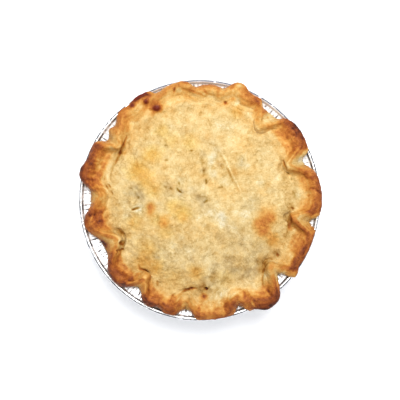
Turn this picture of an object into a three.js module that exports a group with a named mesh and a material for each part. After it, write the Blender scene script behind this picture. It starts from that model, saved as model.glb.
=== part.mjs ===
// A single-serving pot pie in the pleated foil pan that it was baked in.
// Millimetres, +Z up. The origin is the middle of the pan's flat base, so the pan stands on Z = 0.
// Angles are in degrees, anticlockwise from +X as seen from above.
//
// Two solids: the pan, and the uncut pie. The pie's lid is one sheet of pastry with its fluted edge, so its
// form is a radial section that changes with the angle: dome, groove, fold, outer edge, and down into the pan.

import * as THREE from "three";

// ---- The foil pan ----
const RIM_RADIUS = 63.5; // the outside of the rolled bead, a 5-inch pan
const PAN_HEIGHT = 31; // the top of the bead
const BASE_RADIUS = 43.6;
const FOIL = 0.5;
const BEAD_RADIUS = 1.05;
const HEEL = { r: 45, z: 1.4 };
const WALL_TOP = { r: 56.2, z: 27.9 }; // the underside, where the wall turns out into a narrow flange
const FLANGE_FOOT = { r: 61.3, z: 29.3 }; // the upper side, where the flange meets the bead
const PLEATS = 180;
const PLEAT_DEPTH = 0.45; // each way from the wall's mean line, at the top of the wall
const WALL_SLOPE = (WALL_TOP.r - HEEL.r) / (WALL_TOP.z - HEEL.z);

// ---- The pie ----
const GAP = 0.3; // between pastry and foil
const COLUMNS = 240; // sections round the pie, one every 1.5 degrees
const LID_EDGE_HEIGHT = 33.4;
const LID_RADIUS = 50; // where the dome comes down to LID_EDGE_HEIGHT
const DOME_RISE = 7.6;
const DOME_POWER = 2.4;
const LID_RINGS = [12, 24, 34]; // radii, each with twice the points of the one inside it
const LOBE_CREST = { r: 60, z: 37.6 }; // the fold's crest where it leans out over the rim
const PINCH_CREST = { r: 48.5, z: 39.4 }; // and where a finger has pushed it inwards
const FOLD_SWING = 7.5; // the fewest degrees in which the crest swings from a lobe to a pinch
const SOFTENING = 1.3; // degrees to either side over which the flutes' corners are rounded off

// The hand-made flutes, anticlockwise. Each is a lobe and the pinch that follows it. The lobe's outer edge
// holds its reach from one angle to another, stands out by its crown more in the middle, and takes so many
// degrees to rise to its reach and to fall from it. The fold's crest lies inside that reach. The pinch has
// its own angle, edge radius and crest radius.
const FLUTES = [
  // from, to, rise, fall, reach, crown, fold, then the pinch's angle, edge and crest
  [351.6, 371, 1.4, 10, 63.4, 0.8, 3.0, 21.8, 57.6, 49.2],
  [23.8, 43.8, 1.8, 1.8, 62.6, 1.5, 2.9, 50, 58.6, 49.9],
  [58.5, 64.5, 3, 2, 61.9, 0, 3.0, 65.5, 61.9, 58],
  [67.5, 73, 2.3, 4, 64.5, 0.6, 3.6, 78, 59.9, 57],
  [81, 88, 3, 3, 60.5, 0.2, 2.7, 90.5, 59.4, 56.4],
  [97.5, 101.5, 5, 10, 62.8, 0.2, 3.0, 112.3, 60.6, 57.5],
  [114.9, 123, 1.6, 3.5, 63.0, 0.5, 3.3, 126, 62.2, 58.5],
  [128.5, 133, 2, 6, 62.4, 0.1, 2.9, 138.6, 59.0, 55.1],
  [141, 143.2, 1.5, 2, 59.8, 0.2, 6.4, 146, 57.2, 49.8],
  [150.2, 158.5, 2.4, 1.5, 62.5, 0.7, 3.0, 160, 62.6, 59.3],
  [163.5, 168.8, 3, 7, 64.0, 0.6, 3.3, 177, 57.0, 51.7],
  [190.5, 193, 9, 11, 61.4, 0, 3.7, 205.5, 55.7, 46.5],
  [219.5, 227.5, 10, 6, 61.4, 0.4, 2.9, 235, 56.0, 49.3],
  [241.1, 245, 4, 3, 61.7, 0, 3.0, 248.5, 60.4, 58],
  [252, 257, 3, 5, 62.0, 0.3, 2.9, 261.8, 58.0, 52.2],
  [268.6, 287.2, 3, 1.8, 62.9, 0.1, 3.2, 290, 59.1, 54.6],
  [293.2, 296.5, 1.2, 1, 64.0, 0, 6.5, 297.2, 64.5, 58.8],
  [301, 307.8, 3.3, 9, 67.3, 0.5, 4.5, 316.8, 56.7, 49.9],
  [319.8, 323.5, 1.6, 3, 64.1, 0.2, 5.2, 327, 62.4, 59.1],
  [329.5, 346.2, 2.5, 1.2, 62.7, 0.2, 2.8, 349.2, 58.7, 49.3],
].map(([from, to, rise, fall, reach, crown, fold, pinch, edge, crest]) => {
  return { from, to, rise, fall, reach, crown, fold, pinch, edge, crest };
});

// Where gravy boiled out and set on the edge: angle, radius from the axis, spread and height.
const GRAVY_BEADS = [
  { at: 115, r: 53.7, spread: 2.0, height: 1.5 },
  { at: 118.6, r: 58.7, spread: 1.3, height: 1.0 },
];

const mix = (a, b, t) => a + (b - a) * t;
const clamp01 = (t) => Math.min(1, Math.max(0, t));
const ease = (t) => 0.5 - 0.5 * Math.cos(Math.PI * clamp01(t));
const radians = (degrees) => (degrees * Math.PI) / 180;
const turn = (degrees) => ((degrees % 360) + 360) % 360;

// The radii of the fold's crest and of the outer edge at an angle, with sharp corners. Each lobe owns the
// stretch from the pinch before it to its own pinch, and gives way to their radii near the stretch's ends.
function sharpFluteAt(angle) {
  const before = (k) => FLUTES.at(k - 1).pinch;
  const owner = FLUTES.findIndex(
    (flute, k) => turn(angle - before(k)) < turn(flute.pinch - before(k)),
  );
  const last = FLUTES.at(owner - 1);
  const lobe = FLUTES[owner];
  const along = turn(angle - last.pinch);
  const length = turn(lobe.pinch - last.pinch);
  const from = turn(lobe.from - last.pinch);
  const to = turn(lobe.to - last.pinch);
  const between = (value, lastValue, nextValue, lastShare, nextShare) =>
    value + (lastValue - value) * lastShare + (nextValue - value) * nextShare;

  const share = clamp01((along - from) / (to - from));
  const edge = between(
    lobe.reach + lobe.crown * Math.sin(Math.PI * share),
    last.edge,
    lobe.edge,
    ease((from - along) / lobe.rise),
    ease((along - to) / lobe.fall),
  );
  const foldFrom = Math.max(from, FOLD_SWING);
  const foldTo = Math.min(to, length - FOLD_SWING);
  const crest = between(
    lobe.reach - lobe.fold,
    last.crest,
    lobe.crest,
    ease((foldFrom - along) / foldFrom),
    ease((along - foldTo) / (length - foldTo)),
  );
  return { crest, edge };
}

function fluteAt(angle) {
  const near = [-1, 0, 0, 1].map((side) => sharpFluteAt(angle + side * SOFTENING));
  const average = (key) => near.reduce((sum, flute) => sum + flute[key], 0) / near.length;
  return { crest: average("crest"), edge: average("edge") };
}

// The lid sags between the lumps of the filling, by a few tenths of a millimetre.
function lumps(x, y) {
  return (
    0.45 * Math.sin(x / 7.1 + 0.6) * Math.cos(y / 8.3 - 0.4) +
    0.3 * Math.sin(x / 4.3 - y / 5.2 + 1.9)
  );
}

function lidHeight(r, angle) {
  const x = r * Math.cos(radians(angle));
  const y = r * Math.sin(radians(angle));
  const dome = DOME_RISE * (1 - (r / LID_RADIUS) ** DOME_POWER);
  return LID_EDGE_HEIGHT + dome + lumps(x, y);
}

// The pan's inner wall, less the pleats and the gap: how wide the pie may be at a height.
function pieWallRadius(z) {
  return WALL_TOP.r - FOIL - PLEAT_DEPTH - GAP - (WALL_TOP.z + FOIL - z) * WALL_SLOPE;
}

// The lowest that pastry may lie at a radius: on the wall's slope, then over the flange and over the bead.
function panHeight(r) {
  const wallTop = WALL_TOP.z + FOIL;
  const throat = pieWallRadius(wallTop);
  const points = [
    [throat, wallTop],
    [throat + GAP, wallTop + GAP],
    [FLANGE_FOOT.r - GAP, FLANGE_FOOT.z + GAP],
    [FLANGE_FOOT.r, PAN_HEIGHT - 0.4],
    [RIM_RADIUS - 1.5, PAN_HEIGHT + GAP],
  ];
  const next = points.findIndex(([radius]) => r < radius);
  if (next === 0) return wallTop - (throat - r) / WALL_SLOPE;
  if (next < 0) return points.at(-1)[1];
  const [r0, z0] = points[next - 1];
  const [r1, z1] = points[next];
  return mix(z0, z1, (r - r0) / (r1 - r0));
}

// The pie's section at an angle, from the lid over the groove and the fold and down to the foot of the wall.
// Each number that differs between a lobe and a pinch, or between an edge that hangs over the rim and one
// that stays inside it, is a mix of the two.
function pieSection(angle) {
  const { crest, edge } = fluteAt(angle);
  const pinch = clamp01((LOBE_CREST.r - crest) / (LOBE_CREST.r - PINCH_CREST.r));
  const overhang = clamp01((edge - 58.4) / 3);
  const top = mix(LOBE_CREST.z, PINCH_CREST.z, pinch) + 0.4 * Math.sin(radians(5 * angle + 40));
  const groove = { r: crest - mix(9, 2.2, pinch), z: mix(33.9, 33.2, pinch) };
  const onLid = (r, drop) => [r, lidHeight(r, angle) - drop];
  const onPan = (r, z = 0) => [r, Math.max(z, panHeight(r) + 0.1)];
  return [
    onLid(0.82 * groove.r, 0),
    onLid(0.93 * groove.r, 0.3 * pinch),
    [groove.r, groove.z],
    [crest - mix(4.2, 1.1, pinch), groove.z + mix(1.0, 3.8, pinch)],
    [crest - mix(1.6, 0.4, pinch), top - mix(0.8, 0.6, pinch)],
    [crest + mix(0.4, 0.7, pinch), top],
    [mix(crest, edge, mix(0.6, 0.5, pinch)), top - mix(0.9, 2.4, pinch)],
    [mix(crest, edge, 0.9), mix(32.2, 35.6, overhang)],
    [edge, mix(31, 34.1, overhang)],
    onPan(edge - mix(0.15, 1.05, overhang), mix(30.2, 32.1, overhang)),
    onPan(mix(edge - 0.3, Math.min(62.8, edge - 1.15), overhang)),
    onPan(mix(edge - 0.5, Math.min(61.2, edge - 1.6), overhang)),
    onPan(mix(edge - 0.7, Math.min(60.6, edge - 2.8), overhang)),
    onPan(Math.min(pieWallRadius(WALL_TOP.z + FOIL), edge - 0.9)),
    [pieWallRadius(HEEL.z), HEEL.z],
  ];
}

// The raised spots of set gravy, as an addition to the top's height.
function gravyHeight(x, y) {
  let height = 0;
  for (const bead of GRAVY_BEADS) {
    const away = Math.hypot(
      x - bead.r * Math.cos(radians(bead.at)),
      y - bead.r * Math.sin(radians(bead.at)),
    );
    height += bead.height * Math.exp(-((away / bead.spread) ** 2));
  }
  return height;
}

// Collects vertices and triangles of one closed surface.
class Surface {
  positions = [];
  triangles = [];

  vertex(x, y, z) {
    this.positions.push(x, y, z);
    return this.positions.length / 3 - 1;
  }

  ring(count, pointAt) {
    return Array.from({ length: count }, (_, i) => this.vertex(...pointAt(i, (360 * i) / count)));
  }

  // Joins two rings, the outward face being on the side from which low lies below high and the rings run
  // to the right. Either ring may have twice the other's points.
  band(low, high) {
    const count = Math.max(low.length, high.length);
    const vertexOf = (ring, i) => ring[Math.floor((i * ring.length) / count) % ring.length];
    for (let i = 0; i < count; i++) {
      const a = vertexOf(low, i);
      const b = vertexOf(low, i + 1);
      const c = vertexOf(high, i + 1);
      const d = vertexOf(high, i);
      if (a !== b) this.triangles.push(a, b, c);
      if (c !== d) this.triangles.push(a, c, d);
    }
  }

  fan(centre, ring, facingUp) {
    ring.forEach((vertex, i) => {
      const next = ring[(i + 1) % ring.length];
      this.triangles.push(centre, ...(facingUp ? [vertex, next] : [next, vertex]));
    });
  }

  geometry() {
    const made = new THREE.BufferGeometry();
    made.setAttribute("position", new THREE.Float32BufferAttribute(this.positions, 3));
    made.setIndex(this.triangles);
    made.computeVertexNormals();
    return made;
  }
}

const polar = (r, angle, z) => [r * Math.cos(radians(angle)), r * Math.sin(radians(angle)), z];

// The foil pan: one closed profile from the middle of the underside, out round the bead, back over the flange
// and down inside.
// The third number is how far the pleats swing the point in and out.
function foilPan() {
  const beadRadius = RIM_RADIUS - BEAD_RADIUS;
  const beadHeight = PAN_HEIGHT - BEAD_RADIUS;
  const profile = [
    [BASE_RADIUS, 0, 0],
    [HEEL.r, HEEL.z, 0],
    [WALL_TOP.r, WALL_TOP.z, 1],
    [beadRadius, beadHeight - BEAD_RADIUS, 0],
    [RIM_RADIUS, beadHeight, 0],
    [beadRadius, PAN_HEIGHT, 0],
    [beadRadius - 0.8 * BEAD_RADIUS, beadHeight + 0.3, 0],
    [FLANGE_FOOT.r, FLANGE_FOOT.z, 0],
    [WALL_TOP.r - FOIL, WALL_TOP.z + FOIL, 1],
    [HEEL.r - FOIL, HEEL.z + 0.3, 0],
    [BASE_RADIUS - 0.3, FOIL, 0],
  ];
  const pan = new Surface();
  const rings = profile.map(([r, z, pleat]) =>
    pan.ring(pleat ? 2 * PLEATS : PLEATS, (i, angle) =>
      polar(r + (i % 2 ? 1 : -1) * PLEAT_DEPTH * pleat, angle, z),
    ),
  );
  rings.slice(1).forEach((ring, i) => pan.band(rings[i], ring));
  pan.fan(pan.vertex(0, 0, 0), rings[0], false);
  pan.fan(pan.vertex(0, 0, FOIL), rings.at(-1), true);
  return pan.geometry();
}

// The pie: the lid's inner rings have fewer points, and the sections make the rest down to the flat base.
function potPie() {
  const pie = new Surface();
  const sections = Array.from({ length: COLUMNS }, (_, i) => pieSection((360 * i) / COLUMNS));
  const rings = sections[0].map((_, k) =>
    pie.ring(COLUMNS, (i, angle) => {
      const [r, z] = sections[i][k];
      const [x, y] = polar(r, angle);
      const isTop = k < 8;
      return [x, y, z + (isTop ? gravyHeight(x, y) : 0)];
    }),
  );
  const lidRings = LID_RINGS.map((r, k) =>
    pie.ring(COLUMNS / 2 ** (LID_RINGS.length - k), (i, angle) => polar(r, angle, lidHeight(r, angle))),
  );
  const outward = [...lidRings, ...rings];
  pie.fan(pie.vertex(0, 0, lidHeight(0, 0)), outward[0], true);
  outward.slice(1).forEach((ring, i) => pie.band(ring, outward[i]));
  const floorHeight = FOIL + GAP + 0.1;
  const floor = pie.ring(COLUMNS, (i, angle) => polar(BASE_RADIUS - 1.2, angle, floorHeight));
  pie.band(floor, outward.at(-1));
  pie.fan(pie.vertex(0, 0, floorHeight), floor, false);
  return pie.geometry();
}

function piece(name, geometry, look) {
  const mesh = new THREE.Mesh(geometry, new THREE.MeshStandardMaterial(look));
  mesh.name = name;
  return mesh;
}

const pie = new THREE.Group();
pie.add(
  piece("foil_pan", foilPan(), { color: 0xd9dadb, roughness: 0.3, metalness: 1 }),
  piece("pot_pie", potPie(), { color: 0xeec987, roughness: 0.8, metalness: 0 }),
);

export default pie;
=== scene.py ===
# %% [markdown]
# # A pot pie in its foil pan
#
# A small chicken pot pie, baked in a pleated foil pan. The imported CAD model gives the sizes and
# the place of both pieces: the pan `foil_pan` and the uncut pie `pot_pie`. This lesson gives each
# a finer mesh of the same form, then its finish: flaky pastry, pale on the lid and brown on the
# flutes, and bright crinkled foil.
#
# The frame is loaded first. Its box is kept, because the finished model must not grow out of it.

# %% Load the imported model
import math
from collections import namedtuple

import bpy
import numpy as np
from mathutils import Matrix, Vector, noise


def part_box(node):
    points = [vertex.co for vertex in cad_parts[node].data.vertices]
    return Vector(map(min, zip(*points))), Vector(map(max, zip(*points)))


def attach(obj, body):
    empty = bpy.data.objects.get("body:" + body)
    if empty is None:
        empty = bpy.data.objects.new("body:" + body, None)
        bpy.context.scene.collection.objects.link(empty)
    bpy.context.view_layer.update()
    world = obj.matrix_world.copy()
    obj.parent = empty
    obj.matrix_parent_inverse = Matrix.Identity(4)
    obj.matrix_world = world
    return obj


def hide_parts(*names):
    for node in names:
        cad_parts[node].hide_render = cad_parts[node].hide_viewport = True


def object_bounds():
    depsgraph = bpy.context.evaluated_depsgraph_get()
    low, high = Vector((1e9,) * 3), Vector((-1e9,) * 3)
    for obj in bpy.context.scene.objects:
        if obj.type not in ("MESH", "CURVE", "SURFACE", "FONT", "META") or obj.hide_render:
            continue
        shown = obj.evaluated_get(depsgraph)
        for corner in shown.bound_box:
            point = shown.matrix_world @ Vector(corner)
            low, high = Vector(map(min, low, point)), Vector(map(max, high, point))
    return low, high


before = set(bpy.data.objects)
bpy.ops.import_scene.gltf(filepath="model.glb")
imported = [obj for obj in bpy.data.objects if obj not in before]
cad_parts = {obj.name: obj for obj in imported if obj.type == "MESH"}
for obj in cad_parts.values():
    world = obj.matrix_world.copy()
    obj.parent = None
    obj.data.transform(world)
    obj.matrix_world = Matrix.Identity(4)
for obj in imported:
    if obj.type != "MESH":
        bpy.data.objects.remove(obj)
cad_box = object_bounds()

print("the frame's nodes:", sorted(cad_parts))
box_in_mm = [[round(1000 * value, 1) for value in corner] for corner in cad_box]
print("the frame's box in mm:", box_in_mm)

# %% [markdown]
# ## Sizes
#
# Everything here is worked out in millimetres, as a baker would measure it, and turned into metres
# when a mesh is made. The pan's rim and height are read off the frame. The other sizes of the
# pan's section follow from the foil: a thin wall that leans outwards, pleated because a flat disc
# was pressed into a cup, a narrow flange and an edge rolled into a bead.

# %% Sizes of the pan and the pie
MM = 0.001
RIM_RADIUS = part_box("foil_pan")[1].x / MM
PAN_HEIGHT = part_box("foil_pan")[1].z / MM

# The pan's section, as (radius, height)
BEAD_RADIUS = 1.05
BEAD_MIDDLE = (RIM_RADIUS - BEAD_RADIUS, PAN_HEIGHT - BEAD_RADIUS)
FLANGE_FOOT = (61.3, 29.3)
WALL_TOP = (56.2, 27.9)
HEEL = (45.0, 1.4)
BASE_RADIUS = 43.6
FOIL = 0.5
PLEATS = 180
PLEAT_DEPTH = 0.45

# The pie
GAP = 0.3  # between the pastry and the foil
LID_EDGE_HEIGHT = 33.4
LID_RADIUS = 50.0
DOME_RISE = 7.6
DOME_POWER = 2.4
LOBE_CREST = (60.0, 37.6)
PINCH_CREST = (48.5, 39.4)
FOLD_SWING = 7.5  # degrees over which a fold swings from a lobe to a pinch
SOFTENING = 1.3  # degrees by which the flutes' corners are rounded

print(f"rim {2 * RIM_RADIUS:.1f} mm across, pan {PAN_HEIGHT:.1f} mm high")

# %% [markdown]
# ## The flutes
#
# A baker presses the edge of the lid with a finger and thumb. Each press makes a lobe that leans
# out over the rim and a pinch where the fold is pushed inwards, and no two are alike. A sine wave
# round the edge would look stamped, so each flute has its own row:
#
# - `start` and `stop` of the lobe in degrees, and over how many degrees it rises and falls;
# - how far out it reaches, the `crown` that its middle reaches beyond that, and how far inside
#   that the fold's crest lies;
# - the angle of its pinch, and the radius of the edge and of the crest there;
# - how well the lobe is baked (`brown`) and the pinch (`pale`), from 0 (raw) to 1 (burnt), how
#   deep in from the crest the browning reaches, and as `tail` how much the outside of the pinch
#   swells and browns.

# %% One row for each flute
FLUTE_FIELDS = "start stop rise fall reach crown fold pinch edge crest brown deep pale tail"
Flute = namedtuple("Flute", FLUTE_FIELDS, defaults=[0.0])
FLUTES = [
    Flute(351.6, 371, 1.4, 10, 63.4, 0.8, 3.0, 21.8, 57.6, 49.2, 0.62, 7.0, 0.30),
    Flute(23.8, 43.8, 1.8, 1.8, 62.6, 1.5, 2.9, 50, 58.6, 49.9, 0.66, 10.0, 0.26, 0.03),
    Flute(58.5, 64.5, 3, 2, 61.9, 0, 3.0, 65.5, 61.9, 58, 0.56, 8.0, 0.46),
    Flute(67.5, 73, 2.3, 4, 64.5, 0.6, 3.6, 78, 59.9, 57, 0.42, 7.0, 0.44),
    Flute(81, 88, 3, 3, 60.5, 0.2, 2.7, 90.5, 59.4, 56.4, 0.44, 3.0, 0.46),
    Flute(97.5, 101.5, 5, 10, 62.8, 0.2, 3.0, 112.3, 60.6, 57.5, 0.46, 6.0, 0.38),
    Flute(114.9, 123, 1.6, 3.5, 63.0, 0.5, 3.3, 126, 62.2, 58.5, 0.46, 6.0, 0.40),
    Flute(128.5, 133, 2, 6, 62.4, 0.1, 2.9, 138.6, 59.0, 55.1, 0.54, 7.0, 0.50),
    Flute(141, 143.2, 1.5, 2, 59.8, 0.2, 6.4, 146, 57.2, 49.8, 0.50, 6.0, 0.34, 0.03),
    Flute(150.2, 158.5, 2.4, 1.5, 62.5, 0.7, 3.0, 160, 62.6, 59.3, 0.74, 12.0, 0.72),
    Flute(163.5, 168.8, 3, 7, 64.0, 0.6, 3.3, 177, 57.0, 51.7, 0.76, 16.0, 0.40),
    Flute(190.5, 193, 9, 11, 61.4, 0, 3.7, 205.5, 55.7, 46.5, 0.66, 17.5, 0.32, 0.16),
    Flute(219.5, 227.5, 10, 6, 61.4, 0.4, 2.9, 235, 56.0, 49.3, 0.74, 9.5, 0.38, 0.18),
    Flute(241.1, 245, 4, 3, 61.7, 0, 3.0, 248.5, 60.4, 58, 0.82, 13.0, 0.66),
    Flute(252, 257, 3, 5, 62.0, 0.3, 2.9, 261.8, 58.0, 52.2, 0.72, 10.0, 0.34, 0.09),
    Flute(268.6, 287.2, 3, 1.8, 62.9, 0.1, 3.2, 290, 59.1, 54.6, 0.58, 6.5, 0.54),
    Flute(293.2, 296.5, 1.2, 1, 64.0, 0, 6.5, 297.2, 64.5, 58.8, 0.56, 8.0, 0.62),
    Flute(301, 307.8, 3.3, 9, 67.3, 0.5, 4.5, 316.8, 56.7, 49.9, 0.74, 8.5, 0.32, 0.15),
    Flute(319.8, 323.5, 1.6, 3, 64.1, 0.2, 5.2, 327, 62.4, 59.1, 0.42, 6.0, 0.58),
    Flute(329.5, 346.2, 2.5, 1.2, 62.7, 0.2, 2.8, 349.2, 58.7, 49.3, 0.64, 8.5, 0.36),
]
PINCH_DEEP = 2.5  # how far in from the crest the browning reaches at a pinch
print(len(FLUTES), "flutes, the furthest reaches", max(lobe.reach for lobe in FLUTES), "mm")


# %% Small helpers
def mix(a, b, share):
    return a + (b - a) * share


def clamp01(value):
    return np.clip(value, 0.0, 1.0)


def ease(value):
    """Goes from 0 to 1 with a soft start and a soft end."""
    return 0.5 - 0.5 * np.cos(np.pi * clamp01(value))


print("ease goes", [round(float(ease(t)), 2) for t in (0, 0.25, 0.5, 0.75, 1)])


# %% The flutes round the edge
def between(value, last_value, next_value, last_share, next_share):
    """The lobe's own value, going over to its last pinch's value and to its next pinch's."""
    return value + (last_value - value) * last_share + (next_value - value) * next_share


def sharp_flutes(angles):
    """Crest, edge, baking, its depth and the tail at each angle, with sharp corners between."""
    crest, edge, baked, deep, tail = (np.zeros_like(angles) for _ in range(5))
    for k, lobe in enumerate(FLUTES):
        last = FLUTES[k - 1]
        along = (angles - last.pinch) % 360
        length = (lobe.pinch - last.pinch) % 360
        start = (lobe.start - last.pinch) % 360
        stop = (lobe.stop - last.pinch) % 360
        mine = along < length
        rising, falling = ease((start - along) / lobe.rise), ease((along - stop) / lobe.fall)
        crown = lobe.crown * np.sin(np.pi * clamp01((along - start) / (stop - start)))
        edge[mine] = between(lobe.reach + crown, last.edge, lobe.edge, rising, falling)[mine]
        fold_start = max(start, FOLD_SWING)
        fold_stop = min(stop, length - FOLD_SWING)
        swing_out = ease((fold_start - along) / fold_start)
        swing_in = ease((along - fold_stop) / (length - fold_stop))
        folded = lobe.reach - lobe.fold
        crest[mine] = between(folded, last.crest, lobe.crest, swing_out, swing_in)[mine]
        baked[mine] = between(lobe.brown, last.pale, lobe.pale, swing_out, swing_in)[mine]
        deep[mine] = between(lobe.deep, PINCH_DEEP, PINCH_DEEP, swing_out, swing_in)[mine]
        tail[mine] = between(0.0, last.tail, lobe.tail, swing_out, swing_in)[mine]
    return np.stack([crest, edge, baked, deep, tail])


def flutes(angles):
    """The same, with the corners rounded off."""
    near = [sharp_flutes(angles + side * SOFTENING) for side in (-1, 0, 0, 1)]
    return sum(near) / len(near)


# %% Uneven edges, and one value for each of the 800 sections
NOISE_GAIN = 1.4  # brings Blender's noise to about -1 to 1


def round_noise(angles, size, height=0.0):
    """Noise round the edge, with swells about `size` millimetres apart."""
    scale = RIM_RADIUS / size
    turned = np.radians(angles)
    places = np.stack([scale * np.cos(turned), scale * np.sin(turned), 0 * turned + height], axis=1)
    return np.array([NOISE_GAIN * noise.noise(Vector(place)) for place in places.tolist()])


def even_angles(count):
    return np.arange(count) * 360.0 / count


COLUMNS = 800
ANGLES = even_angles(COLUMNS)
CREST, EDGE, BAKED, DEEP, TAIL = flutes(ANGLES)
ragged = 0.26 * round_noise(ANGLES, 3.2, 1.0) + 0.14 * round_noise(ANGLES, 1.5, 2.0)
EDGE = EDGE + ragged
CREST = CREST + 0.6 * ragged + 0.25 * round_noise(ANGLES, 6.0, 3.0)
print(f"the edge lies {EDGE.min():.1f} to {EDGE.max():.1f} mm from the middle")

# %% [markdown]
# ## The pie's section
#
# Cut the pie from its middle outwards and the knife meets the dome of the lid, a groove where the
# lid meets the edge, the fold standing up, its outer edge, and then the side going down into the
# pan. That section changes with the angle, so the crust is made of 800 sections side by side. It
# could be sculpted or a displaced disc instead, but a disc can't hang over the rim, and sections
# keep every size exact. The same numbers shape the CAD solid, which has fewer sections and
# straight pieces between their points. Here a smooth curve runs through them.

# %% The lid's dome and the room in the pan
WALL_SLOPE = (WALL_TOP[0] - HEEL[0]) / (WALL_TOP[1] - HEEL[1])
INNER_WALL_TOP = (WALL_TOP[0] - FOIL, WALL_TOP[1] + FOIL)


def lumps(x, y):
    """The lid sags a little between the lumps of the filling."""
    wide = 0.45 * np.sin(x / 7.1 + 0.6) * np.cos(y / 8.3 - 0.4)
    return wide + 0.3 * np.sin(x / 4.3 - y / 5.2 + 1.9)


def lid_height(r, angles):
    x, y = r * np.cos(np.radians(angles)), r * np.sin(np.radians(angles))
    dome = DOME_RISE * (1 - (np.abs(r) / LID_RADIUS) ** DOME_POWER)
    return LID_EDGE_HEIGHT + dome + lumps(x, y)


def pie_wall_radius(z):
    """How wide the pie may be at a height inside the pan."""
    return INNER_WALL_TOP[0] - PLEAT_DEPTH - GAP - (INNER_WALL_TOP[1] - z) * WALL_SLOPE


THROAT = pie_wall_radius(INNER_WALL_TOP[1])


def pan_height(r):
    """The lowest that pastry may lie at a radius: on the wall, then over the flange and bead."""
    places = [
        (THROAT, INNER_WALL_TOP[1]),
        (THROAT + GAP, INNER_WALL_TOP[1] + GAP),
        (FLANGE_FOOT[0] - GAP, FLANGE_FOOT[1] + GAP),
        (FLANGE_FOOT[0], PAN_HEIGHT - 0.4),
        (RIM_RADIUS - 1.5, PAN_HEIGHT + GAP),
    ]
    on_wall = INNER_WALL_TOP[1] - (THROAT - r) / WALL_SLOPE
    return np.where(r < THROAT, on_wall, np.interp(r, *zip(*places)))


print(f"the pie fills the pan up to {THROAT:.1f} mm from the middle")

# %% The section's points
LID_CURVE_START = 36.0
OVERHANG_FROM = 58.4  # an edge beyond this radius starts to lean out over the rim
TOP_POINTS = 10  # the section's points from the lid out to the edge


def pinch_share(crest):
    """0 on a lobe, 1 where the crest is pushed in as far as at a full pinch."""
    return clamp01((LOBE_CREST[0] - crest) / (LOBE_CREST[0] - PINCH_CREST[0]))


def groove_radius(crest, pinch):
    """Where the lid meets the flute: far inside a lobe's crest, close behind a pinch."""
    return crest - mix(9, 2.2, pinch)


def section_points(angles, crest, edge):
    """The section's points at each angle, as angles by points by (radius, height)."""
    pinch = pinch_share(crest)
    overhang = clamp01((edge - OVERHANG_FROM) / 3)
    top = mix(LOBE_CREST[1], PINCH_CREST[1], pinch) + 0.4 * np.sin(np.radians(5 * angles + 40))
    groove_r = groove_radius(crest, pinch)
    groove_z = mix(33.9, 33.2, pinch)

    def on_lid(r, drop):
        return r, lid_height(r, angles) - drop

    def on_pan(r, z=0):
        return r, np.maximum(z, pan_height(r) + 0.1)

    points = [
        # the lid, running into the groove
        on_lid(np.full_like(angles, LID_CURVE_START), 0),
        on_lid(0.87 * groove_r, 0.05),
        on_lid(0.94 * groove_r, 0.3 * pinch),
        (groove_r, groove_z),
        # up the fold, over its crest and down its outside to the edge
        (crest - mix(4.2, 1.1, pinch), groove_z + mix(1.0, 3.8, pinch)),
        (crest - mix(1.6, 0.4, pinch), top - mix(0.8, 0.6, pinch)),
        (crest + mix(0.4, 0.7, pinch), top),
        (mix(crest, edge, mix(0.6, 0.5, pinch)), top - mix(0.9, 2.4, pinch)),
        (mix(crest, edge, 0.9), mix(32.2, 35.6, overhang)),
        (edge, mix(31, 34.1, overhang)),
        # back under the edge, over the bead and the flange, and down the pan's wall
        on_pan(edge - mix(0.15, 1.05, overhang), mix(30.2, 32.1, overhang)),
        on_pan(mix(edge - 0.3, np.minimum(62.8, edge - 1.15), overhang)),
        on_pan(mix(edge - 0.5, np.minimum(61.2, edge - 1.6), overhang)),
        on_pan(mix(edge - 0.7, np.minimum(60.6, edge - 2.8), overhang)),
        on_pan(np.minimum(THROAT, edge - 0.9)),
        (pie_wall_radius(HEEL[1]), HEEL[1]),
    ]
    for_all = [np.broadcast_arrays(r + 0 * angles, z + 0 * angles) for r, z in points]
    return np.array(for_all).transpose(2, 0, 1)


section = section_points(ANGLES, CREST, EDGE)
print("sections, points in each, numbers in each:", section.shape)


# %% A smooth curve through the section's points
def smooth_curve(points, steps):
    """A curve through the points of each section, with so many steps from one point to the next."""
    gaps = np.linalg.norm(np.diff(points, axis=1), axis=2)[:, :, None]
    slopes = np.diff(points, axis=1) / gaps
    weighted = slopes[:, :-1] * gaps[:, 1:] + slopes[:, 1:] * gaps[:, :-1]
    inner = weighted / (gaps[:, :-1] + gaps[:, 1:])
    tangents = np.concatenate([slopes[:, :1], inner, slopes[:, -1:]], axis=1)
    t = (np.arange(steps) / steps)[None, None, :, None]
    start, end = points[:, :-1, None], points[:, 1:, None]
    leave, arrive = (gaps * tangents[:, :-1])[:, :, None], (gaps * tangents[:, 1:])[:, :, None]
    curve = (
        (2 * t**3 - 3 * t**2 + 1) * start
        + (t**3 - 2 * t**2 + t) * leave
        + (3 * t**2 - 2 * t**3) * end
        + (t**3 - t**2) * arrive
    )
    flat = curve.reshape(len(points), -1, 2)
    return np.concatenate([flat, points[:, -1:]], axis=1)


def even_steps(curve, count):
    """Points at even distances along each section's curve."""
    lengths = np.linalg.norm(np.diff(curve, axis=1), axis=2)
    walked = np.concatenate([np.zeros((len(curve), 1)), np.cumsum(lengths, axis=1)], axis=1)
    wanted = np.linspace(0, 1, count)
    return np.array([
        [np.interp(wanted * along[-1], along, line[:, axis]) for axis in (0, 1)]
        for along, line in zip(walked, curve)
    ]).transpose(0, 2, 1)


TOP_RINGS = 76
CURVE_STEPS = 12
top_rings = even_steps(smooth_curve(section[:, :TOP_POINTS], CURVE_STEPS), TOP_RINGS)
under_rings = section[:, TOP_POINTS:]
spacing = np.linalg.norm(np.diff(top_rings, axis=1), axis=2)
print(f"{COLUMNS} sections, rings {spacing.min():.2f} to {spacing.max():.2f} mm apart on top")

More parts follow.
